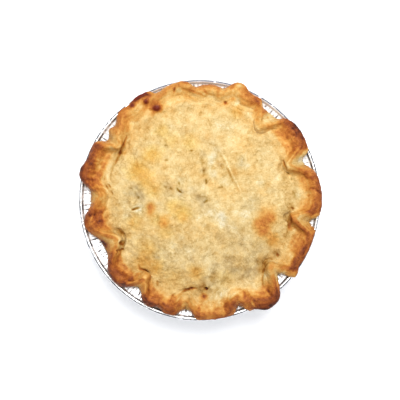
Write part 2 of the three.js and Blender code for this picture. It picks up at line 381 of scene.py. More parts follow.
# %% [markdown]
# ## A mesh of rings
#
# Rings of points, joined ring to ring, suit a round pie. Near the middle a ring needs fewer
# points, so a band may also join a ring to one with half as many. The rings on top are made first,
# because they get relief and the hidden side does not.

# %% Rings to mesh
class RingMesh:
    """Rings of points and the faces between them."""

    def __init__(self):
        self.points, self.faces = [], []

    def ring(self, points):
        first = len(self.points)
        self.points.extend(points)
        return np.arange(first, first + len(points))

    def band(self, low, high):
        """Joins two rings, the second of which may have half as many points, or twice as many."""
        count = max(len(low), len(high))
        i = np.arange(count)
        a = low[(i * len(low) // count) % len(low)]
        b = low[((i + 1) * len(low) // count) % len(low)]
        c = high[((i + 1) * len(high) // count) % len(high)]
        d = high[(i * len(high) // count) % len(high)]
        for corners in zip(a, b, c, d):
            kept = [int(v) for v, after in zip(corners, corners[1:] + corners[:1]) if v != after]
            self.faces.append(kept)

    def fan(self, centre, ring, facing_up):
        """Closes the last ring round a point in its middle."""
        middle = len(self.points)
        self.points.append(centre)
        for v, after in zip(ring, np.roll(ring, -1)):
            pair = [int(v), int(after)] if facing_up else [int(after), int(v)]
            self.faces.append([middle] + pair)

    def finish(self, name):
        mesh = bpy.data.meshes.new(name)
        mesh.from_pydata((np.array(self.points) * MM).tolist(), [], self.faces)
        mesh.polygons.foreach_set("use_smooth", np.ones(len(mesh.polygons), bool))
        mesh.update()
        made = bpy.data.objects.new(name, mesh)
        bpy.context.scene.collection.objects.link(made)
        triangles = sum(len(face) - 2 for face in self.faces)
        print(f"{name}: {len(mesh.vertices)} points, {triangles} triangles")
        return made


def circle(r, z, angles):
    """A ring's points. The radius and the height may change with the angle."""
    turn = np.radians(angles)
    r, z = r + 0 * turn, z + 0 * turn
    return np.stack([r * np.cos(turn), r * np.sin(turn), z], axis=1).tolist()


print("a square ring:", np.round(circle(1.0, 0.0, even_angles(4)), 2).tolist())

# %% [markdown]
# ## The crust's bare form
#
# The lid inside the curved part is plain rings on the dome. They keep about half a millimetre
# between points, and each time the rings have become half as long they lose half their points.

# %% The crust without relief
LID_STEP = 0.5
LID_ZONE_EDGES = [LID_CURVE_START, 30.0, 15.0, 7.5, 3.75, 1.2]
FLOOR_HEIGHT = FOIL + GAP + 0.1
FLOOR_RINGS = ((400, BASE_RADIUS - 1.2), (200, 24.0), (100, 12.0), (50, 5.0))

crust = RingMesh()
rings = []
for k in range(TOP_RINGS):
    rings.append(crust.ring(circle(top_rings[:, k, 0], top_rings[:, k, 1], ANGLES)))
inward = rings[0]
for halvings, (outer, inner) in enumerate(zip(LID_ZONE_EDGES[:-1], LID_ZONE_EDGES[1:])):
    count = COLUMNS >> halvings
    angles = even_angles(count)
    steps = round((outer - inner) / LID_STEP)
    for k in range(1, steps + 1):
        r = np.full(count, mix(outer, inner, k / steps))
        ring = crust.ring(circle(r, lid_height(r, angles), angles))
        crust.band(inward, ring)
        inward = ring
crust.fan((0, 0, float(lid_height(np.zeros(1), np.zeros(1))[0])), inward, True)
for inner_ring, outer_ring in zip(rings[:-1], rings[1:]):
    crust.band(outer_ring, inner_ring)
top_count = len(crust.points)
outward = rings[-1]
for k in range(under_rings.shape[1]):
    ring = crust.ring(circle(under_rings[:, k, 0], under_rings[:, k, 1], ANGLES))
    crust.band(ring, outward)
    outward = ring
for count, r in FLOOR_RINGS:
    ring = crust.ring(circle(np.full(count, r), FLOOR_HEIGHT, even_angles(count)))
    crust.band(ring, outward)
    outward = ring
crust.fan((0, 0, FLOOR_HEIGHT), outward, False)
pie_crust = crust.finish("pie_crust")

# %% [markdown]
# ## Relief and baking
#
# Pastry has relief at three sizes: blisters of a few millimetres where steam lifted it, flakes and
# stretch marks of about one millimetre, and a crumb that is finer than this mesh and is left to a
# bump in the material. It could all be a displacement in the material, but then the exported mesh
# would be bare, so the points themselves are moved.
#
# Each point also gets numbers for its colour, worked out from the same noise that moves it,
# because raised and thin places brown first:
#
# - `toast`, how far it is baked;
# - `shade`, painted shade and light: how much darker or lighter it is than its baking says, with
#   painted shade in cracks and creases, painted light on crests, and each flake's own tone;
# - `sheer`, where thin pastry shows the filling's grey through it, and painted shade that greys the
#   front of the lid, the side away from the light;
# - `butter`, where fat turned it yellow;
# - `gravy`, where filling boiled over it.
#
# Random values come from Blender's noise, which gives the same value at the same place on each
# run.

# %% Where each point of the crust lies
points = np.array(crust.points)
normals = np.zeros(len(points) * 3)
pie_crust.data.vertices.foreach_get("normal", normals)
normals = normals.reshape(-1, 3)
x, y, z = points.T
radius = np.hypot(x, y)
angle = np.degrees(np.arctan2(y, x)) % 360
crest, edge, baked, deep, tail = (
    np.interp(angle, ANGLES, values, period=360) for values in (CREST, EDGE, BAKED, DEEP, TAIL)
)
pinched = pinch_share(crest)
groove = groove_radius(crest, pinched)
is_top = np.arange(len(points)) < top_count
print("pinched from", pinched.min().round(2), "to", pinched.max().round(2))


# %% Noise for the relief and for the browning
def smooth_step(value, low, high):
    """Goes softly from 0 to 1 while the value goes from low to high."""
    t = clamp01((value - low) / (high - low))
    return t * t * (3 - 2 * t)


SEED_STEP = np.array([17.3, 5.1, 11.7])  # moves each seed's noise to a place of its own


def field(size, seed, places=points):
    """Smooth noise, mostly from -0.7 to 0.7, with swells about `size` millimetres apart."""
    scaled = places / size + seed * SEED_STEP
    return NOISE_GAIN * np.array([noise.noise(Vector(place)) for place in scaled.tolist()])


def around_edge(r, height):
    """Places for noise that runs along the flutes or across them, by how fast each way changes."""
    turn = np.radians(angle)
    return np.stack([r * np.cos(turn), r * np.sin(turn), height], axis=1)


round_edge = around_edge(60, 0.22 * radius)
across_edge = around_edge(18, radius - crest)
swells = field(9.0, 1)
blisters = field(4.6, 2)
ledges = [(field(5.2, 3), 0.16), (field(3.0, 4), 0.12), (field(1.9, 5), 0.08)]  # and their height
patches = field(14.0, 6)
mottle = field(3.4, 7) + 0.8 * field(1.8, 8)
crumbs = field(1.25, 9)
flecks = smooth_step(field(0.95, 31) + 0.35 * field(5.0, 32), 0.42, 0.75)
streaks = field(2.6, 10, round_edge) + 0.6 * field(1.4, 11, round_edge)
layers = field(2.4, 12, across_edge) + 0.6 * field(1.3, 13, across_edge)
print("noise fields at", len(points), "points")

# %% Streaks where the fold was stretched
# Start and stop round the edge in degrees, and how much
STRETCHED = [(142, 176, 1.0), (183, 197, 0.5), (26, 42, 0.35), (241, 262, 0.45), (268, 290, 0.7)]
stretched = np.full(len(points), 0.2)
for start, stop, amount in STRETCHED:
    within = smooth_step(angle, start - 3, start + 3) * smooth_step(-angle, -stop - 3, -stop + 3)
    stretched = np.maximum(stretched, amount * within)
streaks = streaks * stretched
print(f"streaks from {streaks.min():.2f} to {streaks.max():.2f}")


# %% Flakes
def bell(value, middle, width):
    """1 in the middle, falling softly to 0 on both sides."""
    return np.exp(-(((value - middle) / width) ** 2))


def flakes(size, seed):
    """Flakes of about `size` millimetres: how near their edge is, and each flake's own tone."""
    bend = [field(0.9 * size, seed), field(0.9 * size, seed + 0.5), 0 * x]
    bent = points + 0.5 * size * np.stack(bend, axis=1)
    to_edge, tone = np.zeros(len(points)), np.zeros(len(points))
    for k, place in enumerate((bent / size + seed).tolist()):
        # Each flake has a centre, and at a flake's edge the two nearest are equally far away
        distances, centres = noise.voronoi(Vector(place))
        to_edge[k] = distances[1] - distances[0]
        tone[k] = noise.noise(centres[0] * 3.7)
    return bell(to_edge, 0, 0.17), tone


cracks, flake_tone = flakes(3.0, 21)
fine_cracks, fine_tone = flakes(1.7, 23)
print(f"flakes: {cracks.mean():.2f} of the crust in cracks, {fine_cracks.mean():.2f} in fine ones")

# %% [markdown]
# ## Strokes and spots
#
# Noise alone gives pastry that could be any pastry. A real lid has its own long crack, folds, dark
# hollows and butter spots, and those are listed one by one. A stroke is a line drawn on the pie as
# seen from above: its points in millimetres from the middle, its width, how high it stands or how
# deep it cuts, and how much it adds to `toast` and `shade`. A spot is a soft round patch with an
# uneven border: its place, size and strength, and how much `butter` it has. They could be painted
# on an image, but as numbers they stay sharp at any size, and one stroke shapes the mesh and
# colours it at once.

# %% What a stroke is
# A stroke's shade above 0 paints shade into a hollow or crease, and below 0 paints a highlight
# along a raised line.
Stroke = namedtuple("Stroke", "points width height toast shade")


def polar(at, r):
    return r * math.cos(math.radians(at)), r * math.sin(math.radians(at))


print("a stroke is made of its", ", ".join(Stroke._fields))

# %% Lines, cracks and small marks on the lid
LID_LINES = [
    ([(10.2, 26.2), (12.8, 22.6), (14.9, 17.9),
      (17, 13.1), (19.6, 8.4), (22, 3.7)], 0.45, 0.5, -0.05, -0.32),
    ([(13.9, 17.3), (16.2, 12.6), (18.6, 7.9), (20.7, 4.2)], 0.6, -0.4, 0.06, 0.32),
    ([(9.1, 25.7), (11.5, 22.6), (13.6, 18.4)], 0.5, -0.3, 0.03, 0.3),
    ([(15.4, 24.7), (18.6, 25.5), (22.3, 25.7)], 0.4, 0.3, -0.03, -0.17),
    ([(1, 23.1), (1.3, 17.9)], 1.1, -0.1, 0, 0.28),
    ([(2, 16.8), (2.6, 12.6)], 0.7, -0.2, 0, 0.42),
    ([(3.2, 11), (3.5, 8.1)], 0.57, -0.35, 0, 0.78),
    ([(-10.8, 9.5), (-10.5, 7.9)], 0.52, -0.3, 0, 0.52),
    ([(-12.1, 6.3), (-10.8, 4.7), (-9.2, 3.7)], 0.62, -0.45, 0, 0.78),
    ([(-15.5, 6.8), (-14.2, 4.7)], 0.62, -0.3, 0, 0.52),
    ([(-18.7, 7.4), (-17.4, 5.8)], 0.62, -0.3, 0, 0.43),
    ([(-0.8, 3.2), (2.8, 1.1)], 1.6, -0.1, 0, 0.17),
    ([(1.8, -1.6), (4.4, 0)], 0.52, -0.3, 0, 0.43),
    ([(-18.7, 20.5), (-16.6, 20.7)], 0.52, -0.3, 0, 0.49),
    ([(-18.7, 28.6), (-16.6, 28.4)], 0.52, -0.3, 0, 0.49),
    ([(-5, 25.7), (-3.2, 25.7)], 0.52, -0.3, 0, 0.49),
    ([(4.9, 29.4), (7, 28.4), (9.7, 28.6)], 0.5, -0.3, 0.06, 0.2),
    ([(9.7, 6.3), (12.3, 6.8)], 0.52, -0.3, 0, 0.42),
    ([(-35.5, -5.2), (-33.4, -4.5), (-31.3, -3.9)], 0.62, -0.8, 0.3, 0.78),
    ([(-35.5, -6), (-32.9, -5.5), (-30.8, -4.7)], 0.4, 0.2, -0.05, -0.17),
    ([(-9.8, -48.5), (-7.1, -47.1), (-4.5, -46.3), (-1.4, -46.2)], 0.62, -0.9, 0.3, 0.52),
    ([(3.4, -45.7), (3.8, -47.2)], 0.9, -1.3, 0.35, 0.72),
    ([(1.8, -48.3), (2.8, -51.2)], 1.4, -0.2, 0.16, 0.07),
    ([(-2.9, -44.6), (2.3, -44.1)], 2, 0, 0.06, 0.12),
    ([(48.5, 5.8), (49.8, 2.1), (48.8, -2.1)], 0.6, -0.4, 0, 0.26),
    ([(49, -3.7), (48.5, -5)], 0.62, -0.5, 0.2, 0.61),
    ([(48, 11.8), (48.1, 10)], 0.52, -0.4, 0, 0.61),
    ([(46.9, 12.1), (48, 8.9)], 0.4, 0.2, 0, -0.2),
    ([(9.4, 24.5), (8.9, 21.5), (9.6, 19)], 0.8, -0.2, 0.03, 0.22),
    ([(10.5, 18.2), (13.2, 17.2)], 0.9, -0.2, 0.04, 0.16),
    ([(-32.9, 6.2), (-30.8, 3.2), (-28.9, 0.5)], 0.55, -0.2, 0, 0.16),
    ([(-34.6, 4.8), (-32.6, 2.2), (-31.2, -0.2)], 0.6, -0.2, 0, 0.22),
    ([(-37.2, 6.6), (-35.4, 5.8)], 0.5, -0.2, 0, 0.18),
    ([(-43.2, -1.2), (-43.8, -3)], 0.5, -0.3, 0, 0.3),
    ([(-37, -0.6), (-36, -2.2)], 0.6, -0.2, 0, 0.16),
    ([(-39.5, -1.5), (-40.6, -3.2)], 0.5, -0.2, 0, 0.2),
    ([(48.8, 11), (49.9, 7), (50.1, 4.2)], 0.6, -0.3, 0, 0.2),
    ([(48.8, -1.1), (48, -4.5), (47.2, -7.4)], 0.9, -0.3, 0.02, 0.16),
    ([(46.8, 12.6), (47.6, 10.6)], 0.5, 0.3, 0, -0.3),
    ([(49.9, 12), (50.4, 10.4)], 0.5, 0.3, 0, -0.22),
]
print(len(LID_LINES), "lines on the lid")

# %% Creases where the lid meets the flutes, with painted shade in them
CREVICES = [
    ([(-38.4, 33.6), (-39, 30.8), (-40.2, 27.6),
      (-41.8, 24.4), (-43.2, 21.3), (-44.2, 19)], 0.6, -0.9, 0.28, 0.35),
    ([(-43.5, 21.5), (-44.9, 18), (-45.9, 14.5)], 0.6, -0.3, 0.05, 0.18),
    ([(42.5, -23.5), (44.6, -19.5), (46.2, -16)], 1.3, -0.2, 0.02, 0.16),
    ([(-3, -47.5), (6, -48), (13, -46.5)], 1.6, -0.1, 0, 0.1),
    ([(-43.2, 25.5), (-43.4, 23.1)], 0.4, 0.2, 0, -0.3),
    ([(-45.2, 19.4), (-46.5, 14.7), (-46.8, 10)], 0.4, -0.4, 0.05, 0.2),
    ([(-49.1, 7.9), (-47.8, 5.5)], 0.45, -0.6, 0.2, 0.45),
    ([(-47.8, 8.4), (-46.5, 6.3)], 0.45, -0.6, 0.2, 0.45),
    ([(-46.5, 4.7), (-45.5, 2.6)], 0.4, -0.4, 0.05, 0.25),
    ([(-43.6, -15), (-41.3, -16.8), (-39.2, -18.4)], 0.9, -1, 0.2, 0.4),
    ([(-32.1, -33.6), (-31.3, -36.2), (-28.7, -37), (-25.8, -38.9)], 0.55, -0.9, 0.25, 0.35),
    ([(-22.2, -42), (-21.9, -45.1)], 0.45, -0.5, 0.12, 0.3),
    ([(-12.4, -48.6), (-14.5, -50.4), (-15.4, -53)], 0.45, -0.6, 0.12, 0.25),
    ([(35.6, -32.6), (34.1, -35.7), (33, -38.9),
      (32.8, -42), (33.3, -45.7)], 0.6, -0.9, 0.16, 0.35),
    ([(40.1, -28.9), (41.4, -28.6)], 0.9, -0.8, 0.3, 0.25),
    ([(37.7, -30.7), (37.9, -31.8)], 0.5, -0.5, 0.1, 0.3),
    ([(47.2, -7.6), (47.5, -11.6), (46.7, -15.2)], 1, -1.1, 0.34, 0.3),
    ([(43.8, 21.5), (44.6, 18.4), (45.9, 15.8)], 0.45, -0.8, 0.2, 0.4),
    ([(45.6, 15.2), (46.9, 13.4)], 0.5, -0.4, 0, 0.25),
    ([(28.8, 42.5), (28.8, 39.9), (29.6, 37.8)], 0.6, -0.6, 0.02, 0.3),
    ([(12.8, 50.7), (14.1, 51.7)], 0.9, -0.8, 0.35, 0.15),
    ([(16.5, 49.9), (19.6, 48), (23.3, 47.2)], 0.6, -0.3, 0, 0.2),
    ([(-13, 59.3), (-13.3, 55.9)], 0.5, -0.5, 0.22, 0.15),
    ([(-9.8, 58.5), (-7.1, 57.5), (-4.5, 55.7)], 0.5, -0.4, 0.16, 0.15),
    ([(-5.3, 55.4), (-5, 53.6)], 0.5, -0.3, 0, 0.2),
    ([(2, 58.3), (3.4, 55.9), (6.2, 54.9)], 0.5, -0.3, 0.14, 0.12),
]
print(len(CREVICES), "creases round it")

# %% The folds that stand out of the edge
FOLDS = [
    ([(30.7, 37.8), (34.9, 38.6), (39.6, 39.6), (44.3, 41)], 1.3, 0.5, 0.08, -0.03),
    ([(30.9, 45.7), (29.9, 42.5), (30.1, 38.9), (31.7, 37.5)], 0.55, 0.5, -0.06, -0.16),
    ([(32.2, 42.5), (33, 41)], 1, -0.7, 0.02, 0.25),
    ([(32.2, 47.2), (34.9, 45.1)], 1.5, 0.5, 0.16, 0),
    ([(35.4, 43.8), (36.2, 42.5)], 0.5, -0.4, 0.3, 0.3),
    ([(49.6, -3.9), (48.2, -5.8), (48.2, -8.4),
      (50.1, -11), (52.7, -13.7), (55.3, -16.3)], 1, 0.7, 0.08, -0.02),
    ([(49, -4.5), (48, -6.8)], 0.5, 0.1, -0.05, -0.15),
    ([(52.2, -6.8), (53.8, -8.4)], 1.6, -0.4, -0.1, 0.06),
    ([(38.5, -31), (36.7, -34.6), (35.4, -38.9), (35.4, -43.1), (37, -45.7)], 2.2, 0.9, -0.05, 0),
    ([(33.5, -46.7), (35.4, -48.8), (37, -50.9)], 0.5, 0.4, -0.1, -0.1),
    ([(34.6, -46.2), (36.4, -48.3), (38, -50.4)], 0.5, -0.5, 0.1, 0.2),
    ([(14.9, -58.3), (16.5, -54.6), (19.1, -51.5),
      (22.3, -49.9), (24.9, -50.9), (26.5, -54.1)], 2.3, 0.8, 0.18, 0),
    ([(16, -52), (18.6, -49.1), (22.3, -47.8)], 0.7, 0.2, -0.12, -0.05),
    ([(-40.7, -41), (-37.1, -39.9), (-32.9, -38.6), (-29.2, -38.6),
      (-26, -40.2), (-23.9, -43.1), (-22.9, -46.7)], 1.6, 1, 0, -0.06),
    ([(-41.8, -42.5), (-37.6, -42), (-33.4, -41.2),
      (-29.7, -41.2), (-27.1, -43.6)], 0.7, -0.8, 0.12, 0.15),
    ([(-39.7, -40.4), (-36, -39.1)], 0.5, -0.4, 0, 0.15),
    ([(-38.2, -19.2), (-37.7, -21.5), (-38.4, -24.2), (-39.7, -25.7)], 0.5, 0.6, -0.05, -0.2),
    ([(-41, -21.5), (-40.5, -23.6)], 1.2, -1, 0.25, 0.35),
    ([(-43.9, -26.5), (-41.3, -26.2), (-39.4, -25.2)], 0.5, -0.7, 0.2, 0.3),
    ([(-47, -27.6), (-42.8, -27.2)], 0.7, 0.3, 0.1, 0),
    ([(-46, 21), (-47.3, 16.8), (-48.1, 12.6), (-47.8, 8.9)], 1.2, 0.15, -0.08, -0.08),
    ([(-12.4, 59.9), (-9.2, 61.2), (-6.6, 60.4)], 1, 0.3, 0.1, 0),
    ([(-11.9, 57.8), (-9.2, 57)], 1, -0.2, -0.12, -0.04),
    ([(-4, 56.4), (-1.4, 55.1)], 0.4, 0.2, -0.1, -0.1),
    ([(18.6, 51.5), (20.7, 50.1)], 1.5, -0.5, -0.14, -0.02),
    ([(-11.3, -49.1), (-13.4, -51.5)], 0.5, 0.2, 0, -0.1),
    ([(-18.2, -52.5), (-16.1, -54.6)], 0.5, 0.2, -0.05, -0.1),
    ([(-19.5, -53.6), (-17.4, -55.7)], 0.45, -0.5, 0.16, 0.15),
    ([(-12.4, -53.6), (-9.2, -50.9), (-5, -50.9)], 1.2, 0.4, -0.06, -0.04),
    ([(-8.2, -54.1), (-5, -55.1)], 1.6, -0.3, -0.06, 0.1),
]
print(len(FOLDS), "crease_shades")

# %% Edges of flakes on the flutes
FLAKE_EDGES = [
    ([(48, 38.1), (49.8, 36.2), (50.9, 34.4), (49.3, 33.6), (48, 34.1)], 0.5, -0.5, 0.14, 0.15),
    ([(48.5, 36.2), (49.6, 34.9)], 0.6, 0.2, -0.12, 0),
    ([(52.7, 29.9), (50.1, 26.8), (48, 24.2)], 0.6, -0.1, 0.1, 0),
    ([(53.2, 27.3), (51.1, 24.7)], 0.5, -0.1, 0.08, 0),
    ([(57.4, 6.6), (60.6, 5.5), (62.7, 3.7)], 0.5, -0.5, 0.16, 0.1),
    ([(52.7, -19.2), (54.3, -19.7), (55.3, -21.5), (55.1, -23.6)], 0.5, 0.3, -0.14, -0.05),
    ([(53.8, -21), (54.5, -22.6)], 0.6, -0.3, 0.12, 0.05),
    ([(53, -26.8), (54.5, -25.2), (56.1, -22.6)], 0.5, -0.3, 0.14, 0.05),
    ([(54, -29.4), (55.9, -26.8), (57.2, -24.2)], 0.5, 0.3, -0.16, -0.05),
    ([(53.8, -28.6), (55.1, -26.5)], 0.4, -0.2, 0.12, 0),
    ([(27, -52), (27.5, -54.1), (29.6, -55.9)], 0.4, 0.3, -0.2, -0.05),
    ([(7, -47.8), (6.2, -52)], 0.45, 0.15, -0.06, -0.1),
    ([(9.1, -47.2), (8.6, -52)], 0.45, 0.15, -0.06, -0.1),
    ([(11.2, -47.2), (11.2, -51.5)], 0.45, 0.15, -0.06, -0.1),
    ([(7.8, -54.1), (8.1, -56.2)], 0.6, -0.2, 0.1, 0),
    ([(11.2, -52.5), (11.5, -54.9)], 0.6, -0.2, 0.14, 0.05),
    ([(-55.2, -5.8), (-56.2, -8.9), (-57.5, -12.6)], 0.5, 0.3, -0.16, -0.05),
]
print(len(FLAKE_EDGES), "flake edges")

# %% Places on the flutes that baked more than the rest, or less, with painted shade in some and painted light in others
BROWNING = [
    ([(47.5, 41.5), (50.6, 38.6), (53, 35.2), (54, 31.5), (53.5, 28.9)], 1.1, 0, 0.14, 0),
    ([(53.8, 26.2), (54.3, 24.2)], 0.9, 0, -0.14, 0),
    ([(50.6, 16.5), (54.3, 14.4), (58, 12.1), (59.5, 10)], 1.3, 0, 0.2, 0),
    ([(58, 3.7), (61.1, 2.6)], 1.6, 0, -0.08, 0),
    ([(63.2, 7.4), (63.7, 3.7), (63.5, 0)], 0.8, 0, 0.1, 0),
    ([(55.9, -5.8), (58.5, -6.8), (61.1, -5.2)], 1.1, 0, 0.16, 0),
    ([(51.7, 5.2), (53.2, 1.1)], 2.6, 0, -0.06, 0),
    ([(27, -56.2), (30.7, -57.8), (34.9, -56.7), (38, -54.6), (40.1, -52.5)], 1, 0, 0.2, 0.1),
    ([(22.8, -50.9), (25.4, -52)], 1, 0, 0.14, 0),
    ([(34, -31.5), (32.8, -34.5), (31.7, -38.3)], 2.2, 0, 0.08, 0.36),
    ([(0.5, -45), (3.5, -45.5)], 2.4, 0, 0.1, 0.27),
    ([(39.5, -26), (40.5, -28)], 1.8, 0, 0.05, 0.2),
    ([(-41.3, -43.6), (-38.1, -43.8)], 1.3, 0, 0.25, 0),
    ([(-51.8, -21), (-49.7, -22.6), (-48.6, -25.2)], 1.1, 0, 0.4, 0.3),
    ([(-57.3, 26.5), (-56.8, 24.7)], 1, 0, 0.12, 0),
    ([(-59.1, 8.4), (-54.9, 7.4)], 0.9, 0, 0.18, 0),
    ([(-53.9, -11), (-50.2, -11)], 1.7, 0, 0.14, 0),
    ([(-57, -6.3), (-57.5, -8.9)], 1.2, 0, 0.14, 0),
    ([(21.2, 54.1), (25.9, 54.1), (29.6, 52.5), (31.7, 49.4)], 0.9, 0.2, 0.12, 0),
    ([(15.4, 58), (18.1, 59.1)], 0.8, 0, 0.12, 0),
    ([(20.2, 59.9), (23.8, 58.8)], 2.4, 0, -0.1, 0),
    ([(19.6, 58.5), (21.2, 57.8)], 0.8, 0, 0.1, 0),
    ([(48, -39.4), (50.1, -38.1)], 1.6, 0.2, -0.06, 0),
    ([(46.4, -35.7), (48.5, -36.5), (51.1, -35.2)], 0.9, -0.3, 0.22, 0.1),
    ([(41.7, -34.1), (42.2, -35.2)], 0.8, -0.4, 0, 0.2),
    ([(-28.7, -50.9), (-27.1, -53.8)], 1.3, 0, 0.12, 0),
    ([(10.1, -52.1), (11.5, -56.6), (13, -61.1)], 1.3, 0.2, -0.16, -0.05),
    ([(5.2, -53.8), (6.4, -61.1)], 0.9, 0.1, -0.08, -0.05),
    ([(0, -54.6), (-0.5, -61.4)], 0.9, 0, 0.1, 0),
    ([(26.7, -42.7), (30.3, -46.7), (33.5, -49.6)], 1.2, 0.2, -0.06, -0.02),
    ([(24.7, -47.5), (27.6, -51.9), (31.5, -54.6)], 0.6, -0.4, 0.1, 0.15),
    ([(32.2, -43.5), (35.4, -47), (38, -49.6)], 0.5, -0.4, 0.06, 0.18),
    ([(34.4, -39.6), (37.9, -43.6), (39.4, -47.8)], 0.8, 0.3, -0.03, -0.02),
    ([(21.4, 58.7), (19.2, 60.8)], 2, 0, -0.18, -0.02),
    ([(3.8, 53.9), (-2, 56.1), (-7.2, 58.4)], 0.5, -0.2, 0.12, 0.06),
    ([(11.6, 54.4), (5.8, 55.1)], 0.6, -0.2, 0.08, 0.05),
    ([(-36.3, -35), (-35.5, -39.4), (-34.7, -42.8)], 0.6, -0.3, 0.06, 0.12),
    ([(-51.7, -9.1), (-55.5, -11.8), (-58.3, -13.5)], 0.5, 0.3, -0.08, -0.06),
    ([(-54.2, -6.7), (-58.1, -9.2)], 0.6, -0.2, 0.12, 0.05),
    ([(-50.6, 22.5), (-50, 17.5)], 3, 0, 0.18, 0),
    ([(-21.5, -48.5), (-19.5, -53.5)], 1.8, 0, 0.17, 0),
    ([(11.5, -38), (5, -40)], 1.8, 0, 0.04, 0.12),
    ([(23.5, 0.5), (25.3, 1.7)], 1.8, 0, 0.05, 0.08),
    ([(-24.2, 46.5), (-24.8, 43.5)], 1.4, 0, 0.14, 0),
    ([(47.7, -13.8), (48.6, -15.8)], 1.8, 0, 0.18, 0),
    ([(22, -50.4), (23.6, -51.4)], 1.7, 0, 0.13, 0),
    ([(42.6, -37.6), (44.2, -39)], 1.8, 0, -0.16, -0.05),
    ([(-45.5, 26.8), (-50.5, 26)], 1.7, 0, -0.2, 0),
    ([(-35, -43.8), (-32.5, -45.4)], 1.5, 0, -0.1, -0.05),
    ([(-7.2, -57.4), (-4, -57)], 1.8, 0, -0.16, 0),
    ([(37.5, 38.5), (44.5, 40.8)], 1.8, 0, -0.14, 0),
    ([(-30.5, -47), (-28, -48.6)], 1.7, 0, -0.13, 0),
    ([(52, 22.5), (53.4, 20.5)], 1.9, 0, -0.13, -0.03),
    ([(47.2, 33.5), (48.8, 31.7)], 1.8, 0, -0.12, 0),
    ([(10.5, 58), (13.1, 57.5)], 1.9, 0, -0.12, -0.02),
    ([(37.5, -42.5), (38.6, -46.5)], 1.6, 0, -0.08, 0),
    ([(10.5, -38.2), (5, -41.5)], 2.2, 0, 0.04, 0.13),
    ([(-49.5, 17.8), (-51.5, 15.6)], 2.2, 0, 0.15, 0),
    ([(47.4, -13.2), (48.6, -16.2)], 2, 0, 0.14, 0),
    ([(-44.2, 26.4), (-46.2, 26.2)], 1.5, 0, -0.13, 0),
    ([(-46.9, 7.2), (-46.2, 4.4)], 1.8, 0, 0.08, 0.07),
    ([(1.2, -12.6), (3.4, -13.6)], 2.2, 0, -0.07, -0.09),
    ([(-3.6, -46.8), (3.4, -48)], 1.8, 0, 0.07, 0.11),
    ([(17, 32), (19.2, 33.2)], 2.2, 0, 0.07, 0.05),
    ([(-24, -9.6), (-21.8, -10.4)], 2, 0, -0.11, 0),
    ([(-40.8, -20.2), (-39.6, -21.8)], 1.5, 0, -0.07, -0.13),
    ([(-11.4, -53.7), (-9.2, -54.5)], 1.8, 0, 0.13, 0),
    ([(26.4, -37.6), (28.6, -39)], 2.2, 0, 0.04, 0.09),
    ([(-22, -47.2), (-20.6, -48.8)], 1.8, 0, 0.11, 0),
    ([(56.6, 5.4), (58.2, 3)], 1.8, 0, -0.12, 0),
    ([(-35, -39.6), (-32.8, -40.2)], 1.5, 0, -0.11, 0),
    ([(31, 50.6), (33.4, 49.2)], 1.6, 0, -0.12, -0.03),
    ([(-8, -57.4), (-6.2, -57)], 1.5, 0, -0.1, -0.05),
    ([(42.8, -37.6), (44, -39)], 1.8, 0, -0.1, -0.1),
]
print(len(BROWNING), "browner and paler places")


# %% Arcs that follow the edge
def arc(start, stop, r, width, height, toast, shade):
    """A row for a stroke that follows the edge from one angle to another."""
    return [polar(at, r) for at in np.linspace(start, stop, 6)], width, height, toast, shade


ARCS = [arc(*row) for row in (
    (329, 345, 48.6, 1.4, -0.2, 0.03, 0.14),
    (151, 158, 48.6, 1.7, -0.2, 0.03, 0.13),
    (314, 319, 50.6, 1.3, 0, 0.13, 0),
    (314.5, 318, 48.3, 1.2, -0.3, 0.03, 0.15),
    (355, 369, 48.4, 1.6, -0.1, 0.03, 0.1),
    (-16, 22, 46.6, 2.6, -0.2, 0.02, 0.07),
    (162, 171, 51, 2.8, 0, 0.06, 0),
    (184, 199, 49.2, 2.2, 0, 0.15, 0),
    (27, 41, 49.4, 2.2, 0, 0.04, 0),
    (116, 123, 56.6, 1.8, 0, 0.1, 0.03),
    (79, 88, 54, 2.2, 0, -0.07, 0),
    (96, 103, 58.3, 1.8, 0, -0.1, 0),
    (106, 112, 47.8, 2.5, 0, 0.05, 0.03),
    (145, 149, 46.2, 1.5, 0, 0.06, 0.03),
    (18, 24, 56.4, 1.8, 0, -0.08, 0),
    (46, 53, 48.4, 1.5, 0, -0.02, -0.12),
    (202, 209, 46.3, 1.5, 0, 0, -0.08),
    (234, 238, 49.4, 1.4, 0, 0.12, 0),
    (288.5, 292.5, 55.6, 1.8, 0, -0.16, 0),
    (311, 319, 53.4, 2.4, 0, -0.14, -0.03),
    (311, 319, 57, 2.4, 0, -0.16, -0.1),
    (231, 239, 53.5, 2.4, 0, -0.14, -0.05),
    (231, 239, 57, 2, 0, -0.12, -0.08),
    (40, 50, 56.5, 3, 0, -0.12, -0.02),
    (88, 110, 60, 2.2, 0, -0.09, 0),
    (289, 300, 60.5, 2.2, 0, -0.12, -0.04),
    (201, 212, 48.8, 2.4, 0, -0.06, 0),
    (300, 309, 61.5, 2.5, 0, -0.05, 0),
    (160, 171, 45.2, 2, 0, 0.05, 0.04),
    (181, 190, 55.6, 2.4, 0, 0.1, 0.02),
    (263, 280, 45.2, 2.6, 0, 0.03, 0.04),
    (60, 80, 51.4, 2.4, 0, 0.05, 0),
)]
print(len(ARCS), "arcs")

